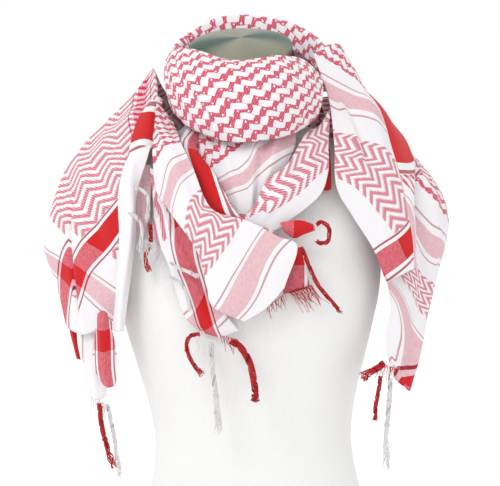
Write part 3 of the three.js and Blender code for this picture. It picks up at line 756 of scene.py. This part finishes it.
def paper():
    """The studio's pale floor."""
    g = Graph("studio_floor", Roughness=0.9, Emission_Color=(1, 1, 1, 1), Emission_Strength=0.15)
    g.paint(g.mix(g.noise(2.0, 2.0), colour(250, 250, 250), colour(246, 246, 246)))
    return g.material


# ---- The form and its cap ------------------------------------------------------------------------

ROUND = 160  # sides of the form and the cap
LEVEL_STEPS = 6  # rings of the form from one level to the next
GIRTH = 0.14  # the form's mean radius in metres, for the knit's places


def form_rings():
    """The limbless form's rings, smooth from level to level."""
    levels = np.array(FORM_LEVELS, float)
    known = levels[:, 0]
    heights = np.concatenate(
        [np.linspace(low, high, LEVEL_STEPS + 1)[:-1] for low, high in zip(known[:-1], known[1:])]
    )
    places = (np.searchsorted(known, heights, side="right") - 1).clip(0, len(levels) - 2)
    places = places + (heights - known[places]) / (known[places + 1] - known[places])
    fine = knot_weights(len(levels), places / (len(levels) - 1)) @ levels
    angles = np.arange(ROUND) * 2 * math.pi / ROUND
    rings = []
    for z, wide, front, back, square, lean in np.vstack([fine, levels[-1]]):
        x = np.sign(np.cos(angles)) * np.abs(np.cos(angles)) ** (2 / square) * wide
        y = np.sign(np.sin(angles)) * np.abs(np.sin(angles)) ** (2 / square)
        y = y * np.where(y < 0, front, back)
        rings.append(np.stack([x, y, z + lean * math.tan(NECK_TILT) * y], -1))
    return np.array(rings)


def knit_places(corners):
    """Distance round the form at its mean girth, and height, in metres."""
    turns = [math.atan2(y, x) for x, y, _ in corners]
    if max(turns) - min(turns) > math.pi:
        turns = [turn + 2 * math.pi if turn < 0 else turn for turn in turns]
    return [(turn * GIRTH, z * MM) for turn, (_, _, z) in zip(turns, corners)]


def build_form():
    rings = form_rings()
    points, faces = closed_rings(rings, rings[0].mean(0), rings[-1].mean(0))
    knit = [place for face in faces for place in knit_places(points[face])]
    form = mesh_object("form", points, faces, jersey(), {"knit": knit})
    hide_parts("dress_form")


def spin_places(radii):
    """The share of a turn and the distance from the axis (m) at each corner of closed_rings' faces."""
    start = np.arange(ROUND) / ROUND
    after, half = start + 1 / ROUND, start + 0.5 / ROUND

    def corners(*places):
        pairs = [np.stack(np.broadcast_arrays(turn, radius * MM), -1) for turn, radius in places]
        return np.stack(pairs, 1).reshape(-1, 2)

    sides = [
        corners((start, low), (after, low), (after, high), (start, high))
        for low, high in zip(radii[:-1], radii[1:])
    ]
    foot = corners((start, radii[0]), (half, 0), (after, radii[0]))
    top = corners((start, radii[-1]), (after, radii[-1]), (half, 0))
    return np.concatenate([*sides, foot, top])


CAP_BEVEL = ((-1.5, 0), (-0.4, 0.4), (0, 1.5))  # its lower edge: out from its radius, and up
DOME_STEPS = 12


def build_cap():
    profile = [(CAP_RADIUS + out, up) for out, up in CAP_BEVEL] + [(CAP_RADIUS, CAP_EDGE * 0.6)]
    for angle in np.arange(DOME_STEPS) / DOME_STEPS * math.pi / 2:
        profile.append((CAP_RADIUS * math.cos(angle), CAP_EDGE + CAP_DOME * math.sin(angle)))
    radii, heights = np.array(profile, float).T
    turns = np.arange(ROUND) * 2 * math.pi / ROUND
    circle = np.stack([np.cos(turns), np.sin(turns), 0 * turns], -1)
    rings = radii[:, None, None] * circle + heights[:, None, None] * np.array([0, 0, 1])
    points, faces = closed_rings(rings, (0, 0, 0), (0, 0, CAP_EDGE + CAP_DOME))
    points = points @ np.array(Matrix.Rotation(NECK_TILT, 3, "X")).T + (0, 0, NECK_TOP + CAP_GAP)
    cap = mesh_object("cap", points, faces, chrome(), {"spin": spin_places(radii)})
    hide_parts("neck_cap")


# ---- Fringe --------------------------------------------------------------------------------------

YARN_SIDES = 6
YARN_STEPS = 70
FRINGE_FULL = 1.25  # soft yarn stands this much fuller than its plain cord
TWIST = 3.0  # turns of the yarns along a cord
CORE = 0.3  # share of the yarns that run inside the cord
KNOT_LONG = 0.035  # half a knot's length, as a share of the cord's
LAP_APART = 0.012


def frames_along(path):
    """Two square directions at each point of a path, turning as little as they can."""
    ahead = np.gradient(path, axis=0)
    ahead /= np.linalg.norm(ahead, axis=1, keepdims=True)
    first = np.cross(ahead[0], (0.3, 0.9, 0.2))
    out = []
    for step in ahead:
        first = first - step * (first @ step)
        first /= np.linalg.norm(first)
        out.append((first.copy(), np.cross(step, first)))
    return np.array(out)


def tube(path, radius):
    """The points and faces of one round yarn along a path, with closed ends."""
    sides = frames_along(path)
    angles = np.arange(YARN_SIDES) * 2 * math.pi / YARN_SIDES
    circle = np.stack([np.cos(angles), np.sin(angles)], -1)
    sizes = np.broadcast_to(np.asarray(radius, float), len(path))
    rings = path[:, None] + sizes[:, None, None] * np.einsum("kc,pcx->pkx", circle, sides)
    index, faces = ring_faces(len(path), YARN_SIDES)
    return rings.reshape(-1, 3), faces + [index[0, ::-1].tolist(), index[-1].tolist()]


def bundle(name, tubes, tone):
    """Many yarns of one colour as one mesh."""
    points, faces, count = [], [], 0
    for spots, sides in tubes:
        points.append(spots)
        faces += [[corner + count for corner in side] for side in sides]
        count += len(spots)
    made = mesh_object(name, np.vstack(points), faces, yarn(tone))
    return made


def knot_laps(route, sides, knot, radius):
    """Three turns of yarn round a cord, side by side."""
    turn = np.linspace(0, 2 * math.pi, 25)[:, None]
    for lap in (-1, 0, 1):
        at = min(max(knot + lap * LAP_APART, 0.01), 0.99)
        centre = (knot_weights(len(route), [at]) @ route)[0]
        first, second = sides[int(at * (YARN_STEPS - 1))]
        ring = centre + radius * 0.82 * (np.cos(turn) * first + np.sin(turn) * second)
        yield tube(ring + np.cross(first, second) * 0.5 * np.sin(turn + lap), THREAD * 1.3)


def tassel(name, radius, route, knots, parted, seed):
    """Yarns twisted into one cord, knotted where asked, and loose from where they part."""
    draw = np.random.default_rng(seed)
    radius *= FRINGE_FULL
    route = np.array(route, float)
    places = np.linspace(0, 1, YARN_STEPS)
    middle = knot_weights(len(route), places) @ route
    sides = frames_along(middle)
    loose = smooth((places - parted) / max(1 - parted, 0.01))
    pinch = 1 - 0.35 * sum(np.exp(-(((places - knot) / KNOT_LONG) ** 2)) for knot in knots)
    tubes = []
    count = max(6, round((radius / THREAD) ** 1.3))
    for k in range(count):
        inner = k >= count * (1 - CORE)
        reach = (radius - THREAD) * (0.35 if inner else 0.85) * pinch
        reach = reach * (1 + loose * draw.uniform(0.1, 0.9))
        wander = loose * draw.normal(0, 0.5)
        turns = k / count * (3 if inner else 1) + TWIST * places * (1 - 0.5 * loose)
        angle = 2 * math.pi * turns + wander + 0.15 * np.sin(places * 9 + k)
        offset = np.stack([np.cos(angle), np.sin(angle)], -1) * reach[:, None]
        path = middle + np.einsum("pc,pcx->px", offset, sides)
        last = YARN_STEPS - int(draw.integers(0, 5))
        tubes.append(tube(path[:last], THREAD * draw.uniform(0.85, 1.1)))
    for knot in knots:
        tubes += knot_laps(route, sides, knot, radius)
    made = bundle("fringe_" + name, tubes, "red" if name.endswith("red") else "white")
    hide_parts("tassel_" + name)
    return made


def fray(name, tone, start, end, toward, reach, count, seed):
    """Loose single threads along a torn or fringed edge, from start to end, hanging towards a way."""
    draw = np.random.default_rng(seed)
    start, end, toward = np.array(start, float), np.array(end, float), np.array(toward, float)
    along = np.linspace(0, 1, 12)[:, None]
    tubes = []
    for k in range(count):
        root = start + (end - start) * (k + draw.uniform(0.1, 0.9)) / count
        way = toward + draw.normal(0, 0.28, 3)
        way /= np.linalg.norm(way)
        length = reach * draw.uniform(0.45, 1.1)
        curl = draw.normal(0, 0.12, 3) * length
        path = root + way * length * along + curl * np.sin(along * draw.uniform(2, 5)) * along
        path[:, 2:] -= length * 0.35 * along**2
        tubes.append(tube(path, 0.42 - 0.16 * along[:, 0]))
    return bundle(name, tubes, tone)


FRINGE = (  # name, sheet, radius, the knots' places, where the yarns part, and the route
    ("left_drape_red", "drape_left_tip", 3, (0.1, 0.72), 0.74,
     [(-189, -72, 314), (-188, -74, 296), (-185, -75, 275), (-174, -74, 232)]),
    ("left_drape_white", "drape_left_tip", 2.5, (0.62,), 0.64,
     [(-180, -66, 312), (-176, -68, 292), (-171, -70, 260), (-167, -72, 217)]),
    ("left_chest_red", "drape_left_inner", 2.5, (0.45,), 0.7,
     [(-116, -106, 537), (-117, -108, 514), (-123, -110, 499), (-120, -112, 479)]),
    ("left_upper_white", "drape_left_inner", 2, (0.4,), 0.75,
     [(-132, -112, 582), (-122, -114, 577), (-117, -115, 564), (-120, -115, 540)]),
    ("left_lower_white", "drape_left_inner", 2, (0.35,), 0.6,
     [(-142, -114, 552), (-133, -115, 547), (-126, -115, 531), (-131, -115, 504)]),
    ("under_upper_white", "chest_under", 2, (0.7,), 0.74,
     [(-93, -130, 492), (-83, -138, 486), (-70, -145, 481), (-58, -150, 475)]),
    ("under_lower_white", "chest_under", 2, (0.3,), 0.6,
     [(-94, -128, 475), (-81, -137, 467), (-74, -141, 453), (-71, -140, 432)]),
    ("tip_red", "chest_under", 2.5, (0.5,), 0.75,
     [(-60, -137, 405), (-73, -138, 402), (-76, -138, 386), (-69, -136, 369), (-58, -135, 354)]),
    ("tip_white", "chest_under", 3, (0.05, 0.62), 0.64,
     [(-47, -132, 395), (-46, -133, 360), (-43, -131, 323), (-42, -126, 280)]),
    ("tip_long_red", "chest_under", 4, (0.9,), 0.92,
     [(-23, -137, 396), (-11, -139, 387), (-1, -139, 368), (4, -137, 340), (4, -134, 320)]),
    ("corner_red", "chest_flap", 2.5, (), 0.9,
     [(65, -144, 507), (72, -143, 488), (84, -138, 460), (112, -131, 423)]),
    ("corner_loop_red", "chest_corner", 2.5, (), 1.0,
     [(84, -134, 532), (90, -134, 535), (99, -134, 528),
      (97, -134, 512), (88, -134, 510), (83, -134, 514)]),
    ("right_drape_red", "drape_right_outer", 4, (0.08,), 0.6,
     [(163, -93, 356), (156, -96, 351), (146, -96, 346), (135, -94, 339)]),
    ("right_drape_cord_red", "drape_right_outer", 2.5, (), 0.92,
     [(159, -92, 340), (156, -94, 323), (152, -93, 304), (151, -90, 285)]),
    ("right_drape_white", "drape_right_outer", 3, (0.35, 0.62), 0.66,
     [(171, -92, 337), (169, -91, 310), (165, -88, 272), (163, -84, 221)]),
)
# Loose threads: name, the sheet, tone, from where to where, which way, reach and count.
FRAYS = (
    ("fray_corner", "chest_corner_tail", "red", (48, -134, 452), (76, -133, 460), (0.7, -0.1, -0.6),
     26, 34),
    ("fray_corner_left", "chest_corner_tail", "red", (20, -146, 436), (44, -140, 452),
     (0.2, -0.2, -0.7), 12, 18),
    ("fray_under", "chest_under", "white", (-112, -118, 520), (-92, -134, 470), (-0.5, -0.3, -0.8),
     14, 14),
    ("fray_tip", "chest_under", "white", (-66, -140, 402), (-40, -142, 398), (-0.1, -0.2, -1),
     16, 20),
    ("fray_tip_red", "chest_under", "red", (-36, -142, 404), (-14, -144, 398), (0.2, -0.2, -1),
     16, 14),
    ("fray_inner", "drape_left_inner", "white", (-130, -110, 520), (-112, -112, 514),
     (0.2, -0.2, -1), 24, 22),
    ("fray_right_tip", "drape_right_outer", "red", (160, -96, 356), (178, -96, 350),
     (-0.3, -0.2, -0.9), 14, 16),
    ("fray_left_tip", "drape_left_tip", "white", (-200, -62, 322), (-182, -70, 314),
     (0, -0.2, -1), 18, 18),
)

# ---- How the weave lies --------------------------------------------------------------------------
# Places (across, down) on the cloth, by their millimetres from the scarf's side or fringed end.

NET_ONLY = dict(turn=43, hand=1, side={500: [(0.6, 0.42)]}, end={600: [(0.6, 0.42)]})
# The left drape's zigzag runs right up to the neck: its end is counted from 1000 on.
LEFT = dict(
    turn=-123, hand=1,
    side={195: [(0.27, 0.72), (0, 0.54), (0.14, 0.64), (0.32, 0.78)], 162: [(0.12, 0.77)],
          155: [(0.01, 0.73), (0.21, 0.83), (0.26, 0.9)]},
    end={1088: [(0.27, 0.72), (0.12, 0.77)], 1050: [(0.21, 0.83), (0.05, 0.89)], 1022: [(0.14, 0.94)],
         1049: [(0.31, 0.8)]},
)
# Past its outer fold the right drape has turned over, and the wide red stripe crosses the net.
RIGHT_TURNED = dict(
    turn=0, hand=-1,
    side={190: [(0.72, 0.2), (1, 0.2)], 175: [(0.72, 0.38), (1, 0.38)], 158: [(0.72, 0.55), (1, 0.55)]},
    end={320: [(0.8, 0.2), (0.8, 0.4)], 300: [(0.8, 0.58)], 258: [(0.8, 0.66)]},
)
RIGHT = dict(
    turn=-48, hand=-1, folded=(0.66, RIGHT_TURNED),
    side={195: [(0.01, 0.83), (0.33, 0.81), (0.56, 0.79)], 155: [(0.03, 1), (0.3, 1), (0.54, 0.97)]},
    end={188: [(0.28, 0.39), (0.55, 0.46)], 88: [(0.12, 0.52), (0.21, 0.6), (0.33, 0.75), (0.39, 0.83),
         (0.48, 0.94)], 50: [(0.01, 0.87), (0.09, 0.98)], 220: [(0.14, 0.25), (0.35, 0.3),
         (0.48, 0.35)], 250: [(0.3, 0.17), (0.47, 0.23)]},
)
OUTER = dict(
    turn=-58, hand=-1,
    side={155: [(0.48, 0.3), (0.27, 0.37), (0.19, 0.4)], 30: [(0.01, 0.94), (0.2, 0.92), (0.39, 0.91)]},
    end={270: [(0.21, 0.36), (0.27, 0.4), (0.3, 0.46), (0.42, 0.5)], 250: [(0.18, 0.41), (0.23, 0.47),
         (0.32, 0.54)], 220: [(0.16, 0.49), (0.24, 0.56), (0.34, 0.62)], 188: [(0.18, 0.59),
         (0.34, 0.67)], 88: [(0.22, 0.7)], 50: [(0.04, 0.59), (0.12, 0.68), (0.21, 0.74), (0.29, 0.8)],
         19: [(0.12, 0.77), (0.09, 0.82)], 21: [(0.16, 0.88)], 30: [(0.2, 0.97)], 36: [(0.5, 0.98)]},
)
FLAP = dict(
    turn=-104, hand=1,
    side={380: [(0.5, 0.5)]},
    end={50: [(0.83, 0.69), (0.63, 0.72), (0.32, 0.78), (0.03, 0.88)], 20: [(0.96, 0.81), (0.81, 0.82),
         (0.55, 0.89), (0.23, 0.96)], 250: [(0.72, 0.32), (0.43, 0.32), (0.27, 0.36), (0.15, 0.41)],
         220: [(0.8, 0.4), (0.63, 0.41), (0.4, 0.44), (0.17, 0.49)], 188: [(0.82, 0.45), (0.53, 0.48),
         (0.16, 0.54), (0.06, 0.57)], 88: [(0.62, 0.65), (0.4, 0.67), (0.2, 0.69)]},
)
COWL = dict(
    turn=-121, hand=1,
    side={380: [(0.5, 0.5)]},
    end={250: [(0.21, 0.48), (0.39, 0.36), (0.47, 0.27), (0.54, 0.22)], 220: [(0.14, 0.63),
         (0.34, 0.59), (0.55, 0.5)]},
)
BAND = dict(
    turn=90, hand=1,
    side={195: [(0.23, 0.15), (0.09, 0.3), (0.19, 0.37)], 158: [(1, 0.42), (0.87, 0.58), (0.56, 0.7)]},
    end={60: [(0.5, 0)], 88: [(0.5, 0.25)], 180: [(0.5, 1)]},
)
PANEL = dict(
    turn=-130, hand=1,
    side={420: [(0.5, 0.5)]},
    end={1180: [(0.66, 0)], 1088: [(1, 0.36), (0.81, 0.43), (0.62, 0.65), (0.51, 0.81)]},
)
UNDER = dict(
    turn=-95, hand=-1,
    side={197: [(0.58, 0.14), (0.41, 0.29), (0.17, 0.58), (0.32, 0.68)], 155: [(0.8, 0.6),
          (0.71, 0.83)]},
    end={88: [(0.72, 0.2), (0.81, 0.29)], 60: [(0.82, 0.44)], 48: [(0.15, 0.8)], 20: [(0.68, 0.89),
         (0, 0.99)]},
)


def strip(side, end, across="side"):
    """A small piece: (from, to) distances over it, one way across it and the other way down it."""
    (left, right), (top, foot) = (side, end) if across == "side" else (end, side)
    over, down = {left: [(0, 0.5)], right: [(1, 0.5)]}, {top: [(0.5, 0)], foot: [(0.5, 1)]}
    if across == "side":
        return dict(turn=90, hand=-1, side=over, end=down)
    return dict(turn=0, hand=1, side=down, end=over)


# ---- Creases -------------------------------------------------------------------------------------
# Each runs from one (across, down) to another, with its half width and its height in millimetres.

WRAP_CREASES = (
    ((0.34, 0.19), (0.72, 0.42), 5, -3.0), ((0.38, 0.24), (0.74, 0.46), 6, 2.2),
    ((0.48, 0.15), (0.86, 0.36), 5, -2.6), ((0.6, 0.12), (0.92, 0.28), 5, -2.2),
    ((0.36, 0.74), (0.72, 0.6), 6, -2.4), ((0.42, 0.84), (0.84, 0.7), 5, -3.0),
    ((0.46, 0.9), (0.88, 0.8), 5, 2.2), ((0.5, 0.95), (0.9, 0.88), 5, -2.6),
    ((0.3, 0.36), (0.36, 0.72), 5, -1.8), ((0.88, 0.36), (0.9, 0.7), 7, -1.6),
)
ROLL_CREASES = (
    ((0.3, 0.05), (0.62, 0.4), 6, -3.0), ((0.35, 0.35), (0.6, 0.75), 7, -2.6),
    ((0.3, 0.65), (0.6, 0.97), 6, -2.6), ((0.66, 0.1), (0.84, 0.6), 8, 2.6),
    ((0.7, 0.45), (0.9, 0.9), 7, -3.0),
)
LEFT_CREASES = (
    ((0.33, 1), (0.34, 0.58), 4.5, -7, -26), ((0.31, 0.6), (0.3, 1), 9, 3.5),
    ((0.47, 0.08), (0.43, 0.9), 12, 3.0), ((0.41, 0.15), (0.39, 0.75), 9, -2.6),
    ((0.2, 0.25), (0.12, 0.8), 10, -2.4), ((0.24, 0.2), (0.2, 0.9), 12, 2.6),
    ((0.55, 0.2), (0.54, 0.85), 13, -4.0), ((0.64, 0.15), (0.62, 0.8), 15, 4.0),
    ((0.7, 0.3), (0.98, 0.22), 12, -5.0), ((0.7, 0.5), (0.98, 0.42), 14, 5.0),
    ((0.68, 0.7), (0.98, 0.62), 13, -5.0), ((0.7, 0.9), (0.98, 0.84), 12, 4.0),
)
RIGHT_CREASES = (
    ((0.13, 0.2), (0.29, 0.5), 5, -8), ((0.2, 0.2), (0.36, 0.5), 9, 3.5),
    ((0.55, 0.1), (0.5, 0.75), 11, -2.6), ((0.68, 0.15), (0.66, 0.8), 10, 2.6),
    ((0.2, 0.75), (0.5, 0.9), 9, -1.8),
)
OUTER_CREASES = (
    ((0.12, 0.2), (0.24, 0.75), 10, 3.0), ((0.3, 0.15), (0.32, 0.8), 10, -3.5),
    ((0.42, 0.15), (0.44, 0.85), 13, 4.0), ((0.56, 0.2), (0.55, 0.85), 13, -4.0),
    ((0.66, 0.3), (0.98, 0.24), 13, 4.5), ((0.64, 0.52), (0.98, 0.46), 12, -5.0),
    ((0.66, 0.75), (0.98, 0.68), 13, 4.5), ((0.05, 0.7), (0.2, 0.98), 8, -2.6),
    ((0.22, 0.72), (0.26, 0.98), 8, 2.6),
)
FLAP_CREASES = (
    ((0.15, 0.42), (0.45, 0.9), 10, -2.2), ((0.85, 0.3), (0.6, 0.92), 12, 2.4),
    ((0.3, 0.08), (0.6, 0.42), 9, -2.4), ((0.5, 0.6), (0.85, 0.68), 10, -1.8),
)
COWL_CREASES = (
    ((0.28, 0.1), (0.36, 0.9), 7, -3.4), ((0.6, 0.04), (0.58, 0.96), 6, -5.0, 14),
    ((0.7, 0.04), (0.7, 0.9), 8, 3.5), ((0.84, 0.06), (0.8, 0.8), 6, -3.4),
    ((0.44, 0.3), (0.5, 0.95), 9, 2.4),
)
PANEL_CREASES = (((0.4, 0.1), (0.3, 0.9), 9, -3.0), ((0.7, 0.1), (0.62, 0.9), 10, 2.6))
UNDER_CREASES = (((0.3, 0.15), (0.5, 0.9), 8, -2.6), ((0.65, 0.2), (0.8, 0.9), 8, 2.4))
BAND_CREASES = (((0.4, 0.1), (0.55, 0.9), 6, -2.0),)
EDGE_CREASES = (((0.3, 0.05), (0.6, 0.5), 5, -4.5), ((0.7, 0.35), (0.35, 0.9), 5, -4.5),
                ((0.45, 0.1), (0.5, 0.95), 6, 2.0))
TIP_CREASES = (((0.3, 0.1), (0.45, 0.95), 5, -2.5), ((0.7, 0.1), (0.6, 0.95), 5, 2.0))

# ---- The scarf -----------------------------------------------------------------------------------


def band_table(sections):
    """The sections of a band round the neck, from the hidden ridge over the belly to the foot."""
    table = []
    for turn, ridge, ridge_z, belly, belly_z, foot, foot_z in sections:
        outline = [
            (ridge - 13, ridge_z - 30),
            (ridge - 8, ridge_z - 7),
            (ridge, ridge_z),
            (ridge + 0.72 * (belly - ridge), ridge_z + 0.4 * (belly_z - ridge_z)),
            (belly, belly_z),
            (belly + 0.3 * (foot - belly), belly_z + 0.6 * (foot_z - belly_z)),
            (foot, foot_z),
            (foot - 14, foot_z + 7),
        ]
        angle = math.radians(turn)
        table.append(
            [(out * math.sin(angle), COLLAR_CENTRE - out * math.cos(angle), z) for out, z in outline]
        )
    return table


# name, table, weave, creases, steps across and down, waves
CLOTHS = (
    ("neck_wrap_front", band_table(WRAP_FRONT), NET_ONLY, WRAP_CREASES, (70, 200), 0.5),
    ("neck_wrap_back", band_table(WRAP_BACK), NET_ONLY, ROLL_CREASES, (70, 200), 0.5),
    ("drape_left", DRAPE_LEFT, LEFT, LEFT_CREASES, (150, 130), 0.6),
    ("drape_left_fold", DRAPE_LEFT_FOLD, strip((197, 153), (100, 140), "end"), (), (36, 60), 0.3),
    ("drape_left_edge", DRAPE_LEFT_EDGE, strip((200, 430), (52, 86), "end"), EDGE_CREASES, (30, 110), 0.9),
    ("drape_left_tip", DRAPE_LEFT_TIP, strip((143, 31), (50, 88), "end"), TIP_CREASES, (44, 70), 0.3),
    ("drape_left_roll", DRAPE_LEFT_ROLL, strip((150, 200), (60, -10)), TIP_CREASES, (50, 66), 0.3),
    ("drape_left_tail", DRAPE_LEFT_TAIL, strip((164, 184), (26, 44)), (), (30, 36), 0.3),
    ("drape_left_inner", DRAPE_LEFT_INNER, strip((300, 420), (12, 46), "end"), TIP_CREASES, (36, 60), 0.3),
    ("drape_right", DRAPE_RIGHT, RIGHT, RIGHT_CREASES, (80, 130), 0.5),
    ("drape_right_outer", DRAPE_RIGHT_OUTER, OUTER, OUTER_CREASES, (150, 150), 0.6),
    ("chest_flap", CHEST_FLAP, FLAP, FLAP_CREASES, (70, 150), 0.5),
    ("chest_red_band", CHEST_RED_BAND, BAND, BAND_CREASES, (44, 90), 0.4),
    ("chest_cowl", CHEST_COWL, COWL, COWL_CREASES, (90, 90), 0.5),
    ("chest_panel", CHEST_PANEL, PANEL, PANEL_CREASES, (60, 90), 0.4),
    ("chest_under", CHEST_UNDER, UNDER, UNDER_CREASES, (60, 110), 0.4),
    ("chest_corner", CHEST_CORNER, strip((162, 188), (60, 20), "side"), (), (36, 50), 0.3),
    ("chest_corner_tail", CHEST_CORNER_TAIL, strip((166, 190), (28, 72)), (), (30, 36), 0.3),
    ("chest_side", CHEST_SIDE, strip((164, 186), (95, 130)), (), (30, 36), 0.2),
)

# ---- The studio ----------------------------------------------------------------------------------

ELEVATION = math.radians(5)
DISTANCE = 2500
LENS = 142
SENSOR = 36
ROLL = math.radians(-1.8)
AIM = (3.8, 0, 501)
KEY_PLACE, KEY_SIDE, KEY_POWER = (-1.2, -1.9, 2.4), 0.9, 21
KEY_TARGET = (0, 0, 0.5)
FLOOR_REACH = 20  # metres
FAR = 60


def add_to_scene(name, data):
    made = bpy.data.objects.new(name, data)
    bpy.context.scene.collection.objects.link(made)
    return made


def build_studio():
    scene = bpy.context.scene
    scene.view_settings.view_transform = "Standard"
    world = bpy.data.worlds.new("studio")
    world.use_nodes = True
    world.node_tree.nodes["Background"].inputs["Color"].default_value = (1, 1, 1, 1)
    world.node_tree.nodes["Background"].inputs["Strength"].default_value = 1.0
    scene.world = world
    # A pale floor that runs far away under the white studio.
    corners = [(x * FLOOR_REACH, y * FLOOR_REACH, 0.0) for x, y in ((-1, -1), (1, -1), (1, 1), (-1, 1))]
    mesh = bpy.data.meshes.new("studio_floor")
    mesh.from_pydata(corners, [], [[0, 1, 2, 3]])
    mesh.materials.append(paper())
    add_to_scene("studio_floor", mesh)

    lamp = bpy.data.lights.new("key", "AREA")
    lamp.size, lamp.energy = KEY_SIDE, KEY_POWER
    key = add_to_scene("key", lamp)
    key.location = KEY_PLACE
    key.rotation_euler = (Vector(KEY_TARGET) - Vector(KEY_PLACE)).to_track_quat("-Z", "Y").to_euler()

    camera = add_to_scene("camera", bpy.data.cameras.new("camera"))
    camera.data.lens = LENS
    camera.data.sensor_width = SENSOR
    camera.data.clip_end = FAR
    place = Vector(AIM) + DISTANCE * Vector((0, -math.cos(ELEVATION), math.sin(ELEVATION)))
    turn = Matrix.Rotation(math.pi / 2 - ELEVATION, 4, "X") @ Matrix.Rotation(ROLL, 4, "Z")
    camera.matrix_world = Matrix.Translation(place * MM) @ turn
    scene.camera = camera


def build_fringe():
    """Every tassel and every run of loose threads, listed by the sheet that it hangs from."""
    hanging = {}
    for number, (name, sheet, radius, knots, parted, route) in enumerate(FRINGE, 1):
        hanging.setdefault(sheet, []).append(tassel(name, radius, route, knots, parted, number))
    for number, (name, sheet, *rest) in enumerate(FRAYS, 40):
        hanging.setdefault(sheet, []).append(fray(name, *rest, seed=number))
    return hanging


def build_scarf(hanging):
    for seed, (name, table, lay, creases, fine, waves) in enumerate(CLOTHS, 1):
        made, cut, area = cloth(name, table, lay, creases, fine, waves, seed)
        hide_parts(name)
        fringe = hanging.get(name, ())
        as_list(fringe)


build_studio()
build_form()
build_cap()
build_scarf(build_fringe())
